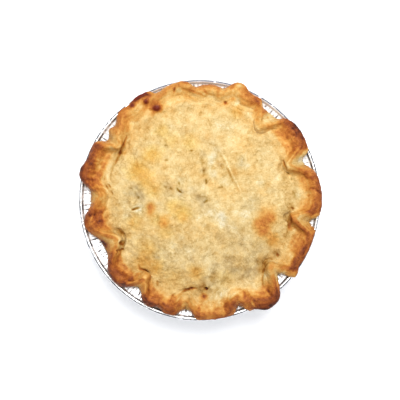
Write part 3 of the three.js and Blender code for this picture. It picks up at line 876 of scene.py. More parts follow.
# %% Golden and buttery spots
Spot = namedtuple("Spot", "x y size amount butter", defaults=[0.0])
GOLDEN_SPOTS = [
    Spot(-32.3, 15.8, 5.5, 0.13, 1), Spot(-28.7, 10, 5, 0.1, 0.75), Spot(-25, 23.6, 5, 0.09, 0.88),
    Spot(-19.2, 35.7, 3.5, 0.05, 0.75), Spot(-24.5, 5.2, 4.4, 0.05, 0.62),
    Spot(-5, 29.9, 4.4, 0, 0.62), Spot(-15, 30.5, 4.4, 0.04, 0.5), Spot(-9.2, -6.3, 4.6, 0.08, 1),
    Spot(-8.2, -9.5, 2.4, 0.1, 0.5), Spot(-14, -2.6, 3.5, 0.09, 0.88),
    Spot(-18.2, -11.6, 2.9, 0.21, 0.62), Spot(-22.4, -10, 3.3, 0.1, 0.62),
    Spot(-18.2, -16.8, 3.9, 0.07, 0.5), Spot(-33.9, -11.6, 3.9, 0.05, 0.5),
    Spot(-27.1, -26.2, 5, 0.12, 0.5), Spot(-30.2, -32.6, 4.4, 0.17, 0.38),
    Spot(-22.4, -35.2, 3.9, 0.17, 0.62), Spot(-1.9, -37.8, 3.9, 0.11, 0.5),
    Spot(-14.5, -40.4, 5.5, 0.09, 0.25), Spot(13.3, -40.4, 3.9, 0.03, 0.38),
    Spot(38, -21, 3.3, 0.21, 0.38), Spot(19.1, 45.7, 3.3, 0.07, 0.5),
]
print(len(GOLDEN_SPOTS), "golden spots")

# %% Browner, paler and thinner spots
BROWN_SPOTS = [
    Spot(-25.5, -3.7, 2.6, 0.32), Spot(-26, -6.8, 2.2, 0.18), Spot(35, -8.4, 5.4, 0.235),
    Spot(33, -14.6, 4.4, 0.19), Spot(32.6, -16.8, 3.6, 0.15), Spot(30.5, -11, 3, 0.07),
    Spot(37.5, -10, 2.5, 0.1), Spot(25.4, 27.3, 5, 0.06), Spot(4.4, 33.6, 2.6, 0.09),
    Spot(10.7, 31.5, 3, 0.04), Spot(21.2, 3.7, 4, 0.06), Spot(13.9, 3.2, 3.5, 0.05),
    Spot(32.8, 3.7, 2.5, 0.06), Spot(18.6, 14.7, 3, 0.06), Spot(9.7, 19.9, 2.6, 0.07),
    Spot(2.3, -50.9, 2, 0.28), Spot(*polar(187.5, 53.8), 2.6, 0.14),
    Spot(*polar(192.5, 54.5), 2.4, 0.16), Spot(*polar(116, 60.2), 1.4, 0.24),
]
PALE_SPOTS = [
    Spot(6.3, 20.4, 3.2, 0.13), Spot(7, 13.1, 3, 0.11), Spot(12.3, 10, 4, 0.07),
    Spot(22.3, 18.9, 3.4, 0.12), Spot(31.7, 8.9, 2.5, 0.06), Spot(38, 5.8, 3, 0.06),
    Spot(23.8, -4.2, 6, 0.06), Spot(9.5, -8.5, 5, 0.08), Spot(12.8, -11.6, 5, 0.06),
    Spot(-0.8, -12.1, 3, 0.06), Spot(-14.5, 1.1, 4, 0.07), Spot(-9.2, 10.5, 3, 0.07),
    Spot(-14.5, 38.9, 3, 0.06), Spot(-26.6, 28.9, 2.5, 0.05), Spot(14.9, 39.4, 7, 0.04),
    Spot(-37.6, -7, 3.4, 0.08), Spot(-31.3, -4.2, 3, 0.1), Spot(-12.9, -26.2, 5, 0.02),
    Spot(*polar(60, 53.5), 3.2, 0.1), Spot(*polar(69, 54.5), 3, 0.05),
    Spot(*polar(70, 63.0), 1.6, 0.08), Spot(*polar(3, 52.5), 3, 0.06),
    Spot(*polar(283, 51.0), 5, 0.08), Spot(*polar(277, 55.0), 3.5, 0.06),
]
SHEER_SPOTS = [
    Spot(-32.3, 5.2, 4.5, 0.61), Spot(-31.3, 0.5, 3, 0.47), Spot(-16.1, 6.8, 3.5, 0.54),
    Spot(-10.3, 4.2, 2.4, 0.68), Spot(0.2, 1.1, 3.5, 0.61), Spot(2.8, -3.7, 3, 0.41),
    Spot(-3.5, 5.2, 3, 0.27), Spot(1.8, 23.6, 2.2, 0.41), Spot(2.3, 15.8, 2.2, 0.41),
    Spot(2.8, 9.5, 1.8, 0.47), Spot(9.1, 25.2, 2.6, 0.27), Spot(10.2, 18.4, 2, 0.41),
    Spot(13.3, -18.4, 7, 0.34), Spot(17, -33.1, 5, 0.61), Spot(8.1, -37.8, 4, 0.41),
    Spot(23.8, -38.3, 4.5, 0.54), Spot(28, -34.1, 5, 0.41), Spot(-5, -31, 6, 0.34),
    Spot(-8.7, -23.1, 4, 0.2), Spot(-21.8, -27.8, 3, 0.27), Spot(23.8, -23.6, 6, 0.34),
    Spot(32.8, -26.2, 4, 0.34), Spot(39.6, -27.3, 3, 0.54), Spot(2.8, -45.7, 4, 0.68),
    Spot(-39.2, -1.6, 4, 0.34), Spot(-33.4, 23.6, 2.5, 0.27), Spot(-17.1, 27.8, 2, 0.34),
    Spot(-7.7, 36.2, 4, 0.27), Spot(-28.7, 43.1, 5, 0.2), Spot(44.8, -6.3, 3, 0.12),
    Spot(4.4, 30.5, 3.5, 0.35), Spot(13.3, -39.4, 3.5, 0.35),
]
print(len(BROWN_SPOTS), "brown,", len(PALE_SPOTS), "pale and", len(SHEER_SPOTS), "thin spots")


# %% How near each point is to a stroke
def near_stroke(stroke):
    """1 on the stroke's line, falling to 0 at its sides and its ends."""
    best = np.zeros(len(points))
    line = np.array(stroke.points)
    lengths = np.linalg.norm(np.diff(line, axis=0), axis=1)
    walked = np.concatenate([[0], np.cumsum(lengths)])
    for start, end, length, before in zip(line[:-1], line[1:], lengths, walked[:-1]):
        t = clamp01(((points[:, :2] - start) @ (end - start)) / length**2)
        away = np.linalg.norm(points[:, :2] - start - t[:, None] * (end - start), axis=1)
        share = (before + t * length) / walked[-1]
        taper = np.sqrt(clamp01(4 * share * (1 - share) + 0.15))
        best = np.maximum(best, bell(away, 0, stroke.width * taper) * taper)
    return best * is_top * (1 + 0.4 * mottle).clip(0.6, 1.3)


first_line = near_stroke(Stroke(*LID_LINES[0]))
print("the first stroke on the lid touches", int((first_line > 0.5).sum()), "points")

# %% The lid
# The layers crack where the lid swelled, and hold together where it sank
cracks = cracks * smooth_step(swells + 0.4 * mottle, -0.6, 0.4)
fine_cracks = fine_cracks * smooth_step(blisters, -0.6, 0.4)
golden = smooth_step(patches + 0.35 * blisters + 0.2 * mottle, 0.15, 0.55)
lid_toast = 0.15 + 0.03 * patches + 0.035 * blisters + 0.02 * mottle + 0.02 * golden
lid_toast += 0.05 * smooth_step(radius - groove, -6.5, -1.0)
# Painted shade in the cracks and painted light on the flakes that the relief raises, with dark
# flecks and mottle
lid_shade = (
    0.15 * cracks + 0.10 * fine_cracks - 0.14 * flake_tone - 0.14 * fine_tone
    + 0.03 * mottle + 0.13 * flecks
)
lid_relief = (
    0.20 * blisters + 0.05 * mottle + 0.25 * flake_tone + 0.15 * fine_tone
    - 0.20 * cracks - 0.10 * fine_cracks
)
for ledge, height in ledges:
    lid_relief += height * smooth_step(ledge, -0.12, 0.12)
print(f"lid: relief {np.ptp(lid_relief):.2f} mm, toast {lid_toast.mean():.2f} on average")

# %% The flutes
# Into the browned band: 0 where it starts, 1 at the crest
inside = (radius - (crest - deep) + 0.9 * streaks + 0.9 * blisters) / (deep + 0.6)
warm = smooth_step(radius - groove, -1.5, 3.5)
browning = 0.17 + 0.11 * warm + (baked - 0.28) * clamp01(inside)
# Outside the crest a lobe browns more, and a pinch less except on its tail
beyond_crest = smooth_step(radius - crest, 0.6, 3.2)
browning += 0.08 * beyond_crest * (1 - pinched) - 0.16 * beyond_crest * pinched
browning += 1.3 * tail * smooth_step(radius - crest, -0.5, 2.0)
speckle = 0.09 * layers + 0.08 * streaks + 0.05 * mottle + 0.05 * crumbs
flute_toast = np.maximum(0.16 + 0.04 * mottle, browning + speckle * smooth_step(browning, 0.1, 0.4))
# Painted shade in the cracks, darker along the streaks and layers, and lighter on some fine flakes
flute_shade = (
    0.11 * streaks + 0.08 * layers + 0.14 * fine_cracks + 0.10 * cracks - 0.10 * fine_tone
)
flute_relief = (
    0.26 * streaks + 0.14 * blisters + 0.07 * crumbs + 0.22 * smooth_step(layers, -0.15, 0.15)
)
flute_share = smooth_step(radius, groove - 0.5, groove + 2.0)
print(f"flutes: toast {flute_toast.min():.2f} to {flute_toast.max():.2f}")

# %% [markdown]
# ### Where the lid meets the flutes
#
# On some sides the lid ends in a groove with painted shade in it, and on others the pastry runs
# smoothly up into the flute. `SEAM` gives the depth of that groove at some angles, from 0 (none) to
# about 1. Where there is no groove it is filled up, and light is painted on the slope up to the
# flute. The crest of a pinch is thin and dry, and stays a little paler, with a painted highlight
# along it. A pinch that swelled has a browner bulge on its outside, by its `tail`.

# %% The groove, the slope and the thin crests
SEAM = [
    (0, 0.5), (20, 0.4), (35, 0.1), (50, 0), (125, 0), (138, 0.5), (146, 1), (158, 0.8),
    (175, 0.5), (190, 0.3), (200, 1), (210, 1), (222, 0.5), (232, 1), (245, 0.8), (255, 0.4),
    (262, 1), (275, 0.7), (290, 0.1), (303, 0.2), (312, 1.1), (320, 1), (335, 0.9), (345, 0.9),
    (349, 0.7), (355, 0.7),
]
seam = np.interp(angle, *zip(*SEAM), period=360)
seamless = clamp01(1 - seam)
painted_lit_slope = seamless * bell(radius - crest, -mix(4.5, 1.8, pinched), mix(3.6, 1.6, pinched))
filled = seamless * bell(radius - groove, 0.8, mix(4.0, 1.8, pinched))
thin_crest = pinched * bell(radius - crest, 0.2, 0.5)
in_crease = seam * bell(radius - groove, -0.3, 0.75)
in_crease = in_crease * clamp01(0.45 + 0.7 * swells + 0.35 * mottle)
print(f"the groove is at its deepest {seam.max():.1f}, on average {seam.mean():.2f}")

# %% Lid and flutes together
relief = mix(lid_relief, flute_relief, flute_share)
relief = relief - mix(0.45, 0.7, pinched) * in_crease + 1.1 * filled
relief += 8.0 * tail * bell(radius - crest, 3.6, 2.2)
toast = mix(lid_toast, flute_toast, flute_share) - 0.06 * thin_crest + 0.05 * in_crease
# Painted shade in the crease, and painted light on the thin crests and on the slope
shade = mix(lid_shade, flute_shade, flute_share) - 0.12 * thin_crest
shade = shade + mix(0.16, 0.34, pinched**2) * in_crease - mix(0.22, 0.26, pinched) * painted_lit_slope
# Painted shade towards the front, the side away from the light, and thin pastry in soft patches of
# the lid
sheer = 0.25 * smooth_step(-y, -15, 45) + 0.1 * smooth_step(-patches, 0.1, 0.6) * (1 - flute_share)
print(f"all over: relief {relief.min():.2f} to {relief.max():.2f} mm")

# %% Strokes and arcs on top of that
drawn = [Stroke(*row) for row in LID_LINES + CREVICES + FOLDS + FLAKE_EDGES + BROWNING + ARCS]
for stroke in drawn:
    nearness = near_stroke(stroke)
    relief += stroke.height * nearness
    toast += stroke.toast * nearness
    shade += stroke.shade * nearness
print(len(drawn), "strokes drawn")


# %% Spots on top of that
def near_spot(spot):
    """1 inside the spot, falling to 0 over an uneven border."""
    away = np.hypot(x - spot.x, y - spot.y) * (1 + 0.3 * blisters + 0.15 * mottle).clip(0.6, 1.5)
    uneven = 1 + 0.15 * crumbs + 0.15 * mottle
    return (1 - smooth_step(away, 0.1 * spot.size, 1.6 * spot.size)) * uneven


butter = np.zeros(len(points))
for spot in GOLDEN_SPOTS + BROWN_SPOTS:
    toast += spot.amount * near_spot(spot)
    butter = np.maximum(butter, spot.butter * near_spot(spot))
for spot in PALE_SPOTS:
    toast -= spot.amount * near_spot(spot)
    sheer += 2 * spot.amount * near_spot(spot)
for spot in SHEER_SPOTS:
    sheer += spot.amount * near_spot(spot)
sheer = clamp01(sheer * (1 + 0.6 * mottle))
print(f"sheer {sheer.mean():.2f} on average, butter on {(butter > 0.2).mean():.2f} of the points")

# %% [markdown]
# ### Gravy
#
# A little filling boiled over on one side, burnt on the rim and set there in a few drops. A drop
# is a place by angle and radius, how far it spread, and its height. It raises the crust, browns it
# round its foot, and gives `gravy` for the shiny finish. This could be a piece of its own, but
# drops this small stick to the pastry and are never taken off it.

# %% Gravy on the rim
GRAVY_ANGLE = 119.8  # degrees round the pie
Drop = namedtuple("Drop", "at r spread height")
GRAVY_DROPS = [Drop(115, 53.7, 2.3, 1.6), Drop(118.6, 58.7, 1.1, 1), Drop(125.5, 60.6, 1, 0.5)]

along_rim = np.abs(angle - GRAVY_ANGLE) + 1.6 * blisters + 1.2 * mottle
on_top = smooth_step(z + 1.2 * streaks + 0.8 * blisters, 33.2, 34.4)
burnt_rim = (1 - smooth_step(along_rim, 3.4, 5.4)) * on_top
gravy = smooth_step(radius + 0.4 * blisters, 61.4, 62.3) * burnt_rim
gravy = gravy * smooth_step(mottle, -0.9, -0.2)
toast += 0.3 * smooth_step(radius, 60.6, 61.8) * burnt_rim
for drop in GRAVY_DROPS:
    middle = polar(drop.at, drop.r)
    away = np.hypot(x - middle[0], y - middle[1]) / drop.spread * (1 + 0.25 * mottle)
    relief += drop.height * np.exp(-(away**2))
    toast += 0.35 * np.exp(-((away / 1.5) ** 4))
    gravy = np.maximum(gravy, 1 - smooth_step(away, 0.55, 1.15))
print(len(GRAVY_DROPS), "drops, gravy on", int((gravy > 0.5).sum()), "points")


# %% Put them on the mesh
def keep_numbers(piece, **numbers):
    """Keeps a number for each point of the mesh, for the material to read."""
    for name, values in numbers.items():
        layer = piece.data.attributes.new(name, "FLOAT", "POINT")
        layer.data.foreach_set("value", np.asarray(values, np.float32))


# The hidden side is smooth and evenly baked, and the relief dies away on the edge's underside
thin_edge = smooth_step(radius - edge, -0.9, 0.0) * (z < 34.5)
relief *= is_top * (1 - 0.7 * thin_edge)
toast = np.where(is_top, toast, 0.35 + 0.05 * mottle)
shade = np.where(is_top, shade, 0.0)
moved = points + normals * relief[:, None]
moved = np.clip(moved, np.array(cad_box[0]) / MM, np.array(cad_box[1]) / MM)
pie_crust.data.vertices.foreach_set("co", (moved * MM).ravel())
pie_crust.data.update()
keep_numbers(pie_crust, toast=toast, shade=shade, sheer=sheer, butter=butter, gravy=gravy)
print(f"relief {relief.min():.2f} to {relief.max():.2f} mm, toast up to {toast.max():.2f}")
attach(pie_crust, "root")
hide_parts("pot_pie")

# %% [markdown]
# ## The foil pan
#
# A sheet of foil pressed into a cup has too much foil at the top, which goes into pleats, in the
# wall and in the flange. On a real pan they are flat stretches with a narrow crease between them.
# A sine wave looks like a cake case instead, so each pleat here has a sharp valley, and each
# valley is a little off its even place.
#
# The rolled bead has creases of its own, where the foil was turned over: one along its top and one
# at its foot inside the pan. Their dark lines are painted shade. Rolling is never even, so the
# lines are broken here and there, and on the side towards the key light the top one lies higher and
# the one at the foot hardly shows. `fold` keeps how much painted shade a point gets, in these
# creases and in the valleys of the pleats, and `dulled` how much the oven dulled the foil.

# %% Pleats round the pan
PAN_COLUMNS = 8 * PLEATS
pan_angles = even_angles(PAN_COLUMNS)
pleat_phase = (pan_angles * PLEATS / 360 + 0.35 * round_noise(pan_angles, 4.0)) % 1
pleat_valley = bell(pleat_phase, 0.5, 0.15)
print(f"{PLEATS} pleats, {(pleat_valley > 0.5).mean():.2f} of the foil in their valleys")

# %% Painted shade in the creases of the rolled bead, by how far round the bead they lie
# The side of the pan towards the key light, where the painted crease shade lies higher on top and
# fades at the foot
LIGHT_SIDE_ANGLE = 85  # degrees round the pan
NOT_ROLLED = -180
light_side = smooth_step(np.cos(np.radians(pan_angles - LIGHT_SIDE_ANGLE)), 0.55, 0.8)


def rim_creases(turned):
    """How much painted shade a place gets from the bead's creases, with 0 degrees outside and 90 on
    top.
    """
    top_crease = 2.4 * bell(turned, mix(50, 80, light_side), mix(17, 12, light_side))
    foot_crease = mix(2.0, 0.2, light_side) * bell(turned, 156, 20)
    return top_crease + foot_crease


print("deepest on top of the bead:", rim_creases(60).max().round(1))

# %% The pan's section, ring by ring
RING_FIELDS = "r z wall flange turned dulled bulge"
Ring = namedtuple("Ring", RING_FIELDS, defaults=[0, 0, NOT_ROLLED, 0, (0, 0)])


def from_to(start, end, shares):
    """Places on the straight way from start to end."""
    return [(mix(start[0], end[0], t), mix(start[1], end[1], t)) for t in shares]


def wall_rings(heel, top, shares, dulled):
    """Rings on the wall, where the pleats are shallow at the heel and deep at the top."""
    places = zip(from_to(heel, top, shares), shares)
    return [Ring(*place, wall=mix(0.2, 1, t), dulled=dulled) for place, t in places]


def bead_ring(turned):
    across, rise = math.cos(math.radians(turned)), math.sin(math.radians(turned))
    place = (BEAD_MIDDLE[0] + BEAD_RADIUS * across, BEAD_MIDDLE[1] + BEAD_RADIUS * rise)
    return Ring(*place, turned=turned, dulled=float(ease((turned - 85) / 35)), bulge=(across, rise))


def pan_profile():
    """The rings from the underside round the bead to the inside."""
    up, down = np.linspace(0, 1, 10), np.linspace(1, 0, 10)
    inner_heel = (HEEL[0] - FOIL, HEEL[1] + 0.3)
    bead = [bead_ring(turned) for turned in range(-110, 171, 10)]
    bead_foot = Ring(*FLANGE_FOOT, turned=176, dulled=1)
    under = [Ring(*at, flange=0.6) for at in from_to(WALL_TOP, bead[0][:2], (0.25, 0.5, 0.75))]
    flange = zip(from_to(FLANGE_FOOT, INNER_WALL_TOP, up[1:-1]), up[1:-1])
    over = [Ring(*at, flange=min(1, 4 * t), dulled=1) for at, t in flange]
    first, last = Ring(BASE_RADIUS, 0), Ring(BASE_RADIUS - 0.3, FOIL, dulled=1)
    outside = [first] + wall_rings(HEEL, WALL_TOP, up, 0) + under
    inside = over + wall_rings(inner_heel, INNER_WALL_TOP, down, 1) + [last]
    return outside + bead + [bead_foot] + inside


print("the pan's section has", len(pan_profile()), "rings")

# %% The foil pan's mesh
# The bead is only ever pressed inwards, so its noise is moved to below 0
crimps = 0.05 * (round_noise(pan_angles, 1.3, 5.0) - NOISE_GAIN)
crimps = crimps + 0.04 * (round_noise(pan_angles, 4.0, 6.0) - NOISE_GAIN)
broken = 0.55 + 0.7 * round_noise(pan_angles, 7.0, 9.0) + 0.6 * round_noise(pan_angles, 1.8, 12.0)
pan = RingMesh()
pan_rings, crease_shades, dulled = [], [], []
for k, ring in enumerate(pan_profile()):
    # Pleats in the wall, then in the flange, each a little stronger or weaker from ring to ring
    strength = clamp01(0.5 + 0.9 * round_noise(pan_angles, 2.6, 0.35 * k))
    outward_by = PLEAT_DEPTH * ring.wall * (0.75 - 1.75 * pleat_valley * strength)
    outward_by += 0.10 * round_noise(pan_angles, 3.0, 0.5 * k) * (ring.wall > 0)
    raised_by = -0.30 * ring.flange * pleat_valley * strength
    raised_by -= 0.08 * ring.flange * clamp01(round_noise(pan_angles, 4.0, 0.6 * k))
    # Dents in the bead, from its middle outwards
    outward_by += ring.bulge[0] * crimps
    raised_by += ring.bulge[1] * crimps
    pan_rings.append(pan.ring(circle(ring.r + outward_by, ring.z + raised_by, pan_angles)))
    # The creases, where the material paints shade
    wall_crease_shade = clamp01(1.6 * pleat_valley * strength * max(ring.wall, 0.8 * ring.flange))
    rim_crease_shade = rim_creases(ring.turned) * clamp01(broken + 0.4 * light_side)
    crease_shades.append(np.maximum(wall_crease_shade, rim_crease_shade))
    dulled.append(np.full(PAN_COLUMNS, float(ring.dulled)))
for low_ring, high_ring in zip(pan_rings[:-1], pan_rings[1:]):
    pan.band(low_ring, high_ring)
pan.fan((0, 0, 0), pan_rings[0], False)
pan.fan((0, 0, FOIL), pan_rings[-1], True)
pan_foil = pan.finish("pan_foil")
keep_numbers(
    pan_foil,
    fold=np.concatenate(crease_shades + [[0, 0]]),  # the last two are the middles of the two fans
    dulled=np.concatenate(dulled + [[0, 1]]),
)
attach(pan_foil, "root")
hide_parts("foil_pan")

# %% [markdown]
# ## Finishes
#
# Both finishes need fine unevenness at two sizes: crumb on the pastry, and crinkles in the foil.
# That is one shader group with its own scale and contrast in each material. Small functions add
# one node each, so that a material reads like a sum instead of a list of links.

# %% Helpers for materials
def new_material(name):
    material = bpy.data.materials.new(name)
    material.use_nodes = True
    return material, material.node_tree, material.node_tree.nodes["Principled BSDF"]


def srgb(red, green, blue, gain=1.0):
    """A colour as eyes see it on a screen, 0 to 255, as the light that the shader works with."""
    light = []
    for value in (red / 255, green / 255, blue / 255):
        linear = value / 12.92 if value <= 0.04045 else ((value + 0.055) / 1.055) ** 2.4
        light.append(gain * linear)
    return light + [1.0]


def feed(tree, socket, value):
    """Links the value to the socket if it comes from a node, and sets it otherwise."""
    if isinstance(value, bpy.types.NodeSocket):
        tree.links.new(value, socket)
    else:
        socket.default_value = value


def math_node(tree, operation, *values):
    node = tree.nodes.new("ShaderNodeMath")
    node.operation = operation
    for socket, value in zip(node.inputs, values):
        feed(tree, socket, value)
    return node.outputs[0]


def vector_node(tree, operation, first, second):
    node = tree.nodes.new("ShaderNodeVectorMath")
    node.operation = operation
    feed(tree, node.inputs[0], first)
    feed(tree, node.inputs["Scale"] if operation == "SCALE" else node.inputs[1], second)
    return node.outputs[0]


print("grey halfway to the eye, as light:", round(srgb(128, 128, 128)[0], 2))


# %% Helpers for ranges, colours and textures
def map_range(tree, value, start, end, low, high):
    """Goes softly from low to high while the value goes from start to end."""
    node = tree.nodes.new("ShaderNodeMapRange")
    node.interpolation_type = "SMOOTHSTEP"
    for name, number in (("From Min", start), ("From Max", end), ("To Min", low), ("To Max", high)):
        node.inputs[name].default_value = number
    feed(tree, node.inputs["Value"], value)
    return node.outputs["Result"]


def mix_colours(tree, blend, factor, first, second):
    node = tree.nodes.new("ShaderNodeMix")
    node.data_type = "RGBA"
    node.blend_type = blend
    for name, value in (("Factor", factor), ("A", first), ("B", second)):
        feed(tree, node.inputs[name], value)
    return node.outputs["Result"]


def point_value(tree, name):
    """A number that the mesh keeps for each of its points."""
    node = tree.nodes.new("ShaderNodeAttribute")
    node.attribute_name = name
    return node.outputs["Fac"]


def noise_node(tree, scale, detail, roughness, distortion=0.0):
    place = tree.nodes.new("ShaderNodeTexCoord")
    texture = tree.nodes.new("ShaderNodeTexNoise")
    tree.links.new(place.outputs["Object"], texture.inputs["Vector"])
    settings = {"Scale": scale, "Detail": detail, "Roughness": roughness, "Distortion": distortion}
    for name, value in settings.items():
        feed(tree, texture.inputs[name], value)
    return texture.outputs["Fac"]


def add_bump(tree, shader, height, strength, depth):
    """Lets the surface catch the light as if it rose and fell by `depth` millimetres."""
    bump = tree.nodes.new("ShaderNodeBump")
    bump.inputs["Strength"].default_value = strength
    bump.inputs["Distance"].default_value = depth * MM
    feed(tree, bump.inputs["Height"], height)
    feed(tree, shader.inputs["Normal"], bump.outputs["Normal"])


print("pale pastry as light:", [round(part, 2) for part in srgb(243, 203, 130)])


# %% Helpers for shared groups
def new_group(name, inputs, outputs):
    group = bpy.data.node_groups.new(name, "ShaderNodeTree")
    number = "NodeSocketFloat"
    for label, start in inputs:
        socket = group.interface.new_socket(label, in_out="INPUT", socket_type=number)
        socket.default_value = start
    for label in outputs:
        group.interface.new_socket(label, in_out="OUTPUT", socket_type=number)
    into = group.nodes.new("NodeGroupInput").outputs
    out = group.nodes.new("NodeGroupOutput").inputs
    return group, into, out


def place_group(tree, group, **values):
    node = tree.nodes.new("ShaderNodeGroup")
    node.node_tree = group
    for name, value in values.items():
        node.inputs[name].default_value = value
    return node.outputs


print("shared groups so far:", len(bpy.data.node_groups))


# %% A shared group for fine unevenness
def fine_grain_group():
    group, into, out = new_group(
        "Fine Grain", [("Scale", 900.0), ("Roughness", 0.6), ("Contrast", 1.0)], ["Value", "Coarse"]
    )
    coarse_scale = math_node(group, "MULTIPLY", into["Scale"], 0.3)
    for name, scale, detail in (("Value", into["Scale"], 3.0), ("Coarse", coarse_scale, 2.0)):
        uneven = noise_node(group, scale, detail, into["Roughness"])
        centred = math_node(group, "SUBTRACT", uneven, 0.5)
        feed(group, out[name], math_node(group, "MULTIPLY", centred, into["Contrast"]))
    return group


FINE_GRAIN = fine_grain_group()
print("group", FINE_GRAIN.name, "with", len(FINE_GRAIN.nodes), "nodes")

# %% [markdown]
# ### Flaky layers
#
# Shortcrust breaks into thin layers, and where one ends there is a fine lit edge with a line of
# shade beside it. This group paints that highlight and that shade into the colour. A slow noise
# cut into steps gives such edges, as the lines on a hill map do: they wander, close up and never
# cross. A second noise takes most of each line away, because real layers end here and there.

# %% A group for the edges of the layers
def flaky_layers_group():
    group, into, out = new_group(
        "Flaky Layers", [("Scale", 170.0), ("Layers", 9.0)], ["Shaded", "Lit", "Height"]
    )
    hill = noise_node(group, into["Scale"], 3.0, 0.6, 0.8)
    step = math_node(group, "FRACT", math_node(group, "MULTIPLY", hill, into["Layers"]))
    kept_scale = math_node(group, "MULTIPLY", into["Scale"], 1.7)
    kept = map_range(group, noise_node(group, kept_scale, 2.0, 0.5), 0.47, 0.60, 0.0, 1.0)
    shaded = map_range(group, step, 0.0, 0.22, 1.0, 0.0)
    lit = map_range(group, step, 0.72, 1.0, 0.0, 1.0)
    for name, value in (("Shaded", shaded), ("Lit", lit), ("Height", step)):
        feed(group, out[name], math_node(group, "MULTIPLY", value, kept))
    return group


FLAKY_LAYERS = flaky_layers_group()
print("group", FLAKY_LAYERS.name, "with", len(FLAKY_LAYERS.nodes), "nodes")

# %% [markdown]
# ### Pastry
#
# Baking takes pastry from cream through gold to dark brown, and always along the same line of
# colours, so one ramp does it, read by `toast` with fine grain added. A painted image would do
# too, but it blurs close up and can stray off that line. Shade and light are painted on top:
# `shade` makes the same colour darker or lighter, with painted shade in the crumb, at the edges of
# the layers and in cracks, hollows and creases, painted light on crests and slopes, and each
# flake's own tone. Thin pastry over the damp filling is greyer, by `sheer`, which
# also paints shade on the front of the lid, and fat makes it yellower, by `butter`. Set gravy is
# the last finish on this piece: dark, reddish and shiny.

# %% The line of baking colours
BAKING = [
    (0.00, (255, 240, 198)),
    (0.10, (250, 221, 158)),
    (0.20, (243, 203, 130)),
    (0.31, (235, 179, 95)),
    (0.42, (223, 151, 66)),
    (0.53, (205, 125, 48)),
    (0.64, (181, 99, 35)),
    (0.76, (152, 74, 24)),
    (0.88, (112, 48, 15)),
    (1.00, (66, 28, 10)),
]
PASTRY_GAIN = 0.68  # how much of the light these colours give back


def baked_colour(tree, toast):
    ramp = tree.nodes.new("ShaderNodeValToRGB")
    for place, colour in BAKING[1:-1]:
        ramp.color_ramp.elements.new(place)
    for element, (place, colour) in zip(ramp.color_ramp.elements, BAKING):
        element.position = place
        element.color = srgb(*colour, PASTRY_GAIN)
    tree.links.new(toast, ramp.inputs["Fac"])
    return ramp.outputs["Color"]


print("baking goes through", len(BAKING), "colours")

# %% The pastry's material
SHADE_COLOUR = (-0.82, -1.0, -1.45)  # what a shade of 1 takes from red, green and blue
# Greys thin pastry, and paints shade on the front of the lid
DAMP_AND_SHADE_COLOUR = (0.70, 0.71, 0.78, 1)
BUTTER_COLOUR = (1.02, 0.99, 0.68, 1)
GRAVY_COLOUR = (120, 34, 6)


def fine_shade(tree, grain, wide, narrow):
    """Painted shade and light of the crumb and of the edges of the layers, which stand out more
    where the pastry is crisp.
    """
    fine = math_node(tree, "MULTIPLY", grain["Value"], 0.60)
    for layers, shaded, lit in ((wide, 0.26, -0.14), (narrow, 0.28, -0.14)):
        fine = math_node(tree, "MULTIPLY_ADD", layers["Shaded"], shaded, fine)
        fine = math_node(tree, "MULTIPLY_ADD", layers["Lit"], lit, fine)
    crisp = map_range(tree, point_value(tree, "toast"), 0.40, 0.62, 1.0, 2.4)
    return math_node(tree, "MULTIPLY_ADD", fine, crisp, point_value(tree, "shade"))


def pastry_material():
    material, tree, shader = new_material("baked_pastry")
    shader.inputs["Specular IOR Level"].default_value = 0.2
    grain = place_group(tree, FINE_GRAIN, Scale=1700.0, Roughness=0.65, Contrast=1.0)
    wide = place_group(tree, FLAKY_LAYERS, Scale=150.0, Layers=9.0)
    narrow = place_group(tree, FLAKY_LAYERS, Scale=330.0, Layers=7.0)

    toast = math_node(tree, "MULTIPLY_ADD", grain["Value"], 0.10, point_value(tree, "toast"))
    toast = math_node(tree, "MULTIPLY_ADD", grain["Coarse"], 0.15, toast)
    shade = fine_shade(tree, grain, wide, narrow)
    left_over = vector_node(tree, "ADD", vector_node(tree, "SCALE", SHADE_COLOUR, shade), (1, 1, 1))
    colour = vector_node(tree, "MULTIPLY", baked_colour(tree, toast), left_over)
    colour = mix_colours(tree, "MULTIPLY", point_value(tree, "sheer"), colour, DAMP_AND_SHADE_COLOUR)
    colour = mix_colours(tree, "MULTIPLY", point_value(tree, "butter"), colour, BUTTER_COLOUR)
    gravy = point_value(tree, "gravy")
    colour = mix_colours(tree, "MIX", gravy, colour, srgb(*GRAVY_COLOUR, PASTRY_GAIN))
    feed(tree, shader.inputs["Base Color"], colour)
    feed(tree, shader.inputs["Roughness"], map_range(tree, gravy, 0.0, 1.0, 0.62, 0.42))

    height = math_node(tree, "MULTIPLY_ADD", wide["Height"], 0.8, grain["Value"])
    add_bump(tree, shader, height, 0.6, 0.25)
    return material


pie_crust.data.materials.append(pastry_material())
print("pastry:", [material.name for material in pie_crust.data.materials])

# %% [markdown]
# ### Foil
#
# Pan foil is bright aluminium. Its rolled bead is polished by the rolling and mirrors the room in
# thin lines. The inside is dulled by the oven and by fat, and small dents break up what it
# mirrors. Plain metal all over would mirror the crust too strongly, so the dulled inside is only
# half metal and is rougher.

# %% The foil's material
FOIL_COLOUR = (0.92, 0.925, 0.93, 1)
CREASE_SHADE_COLOUR = (0.03, 0.03, 0.04, 1)


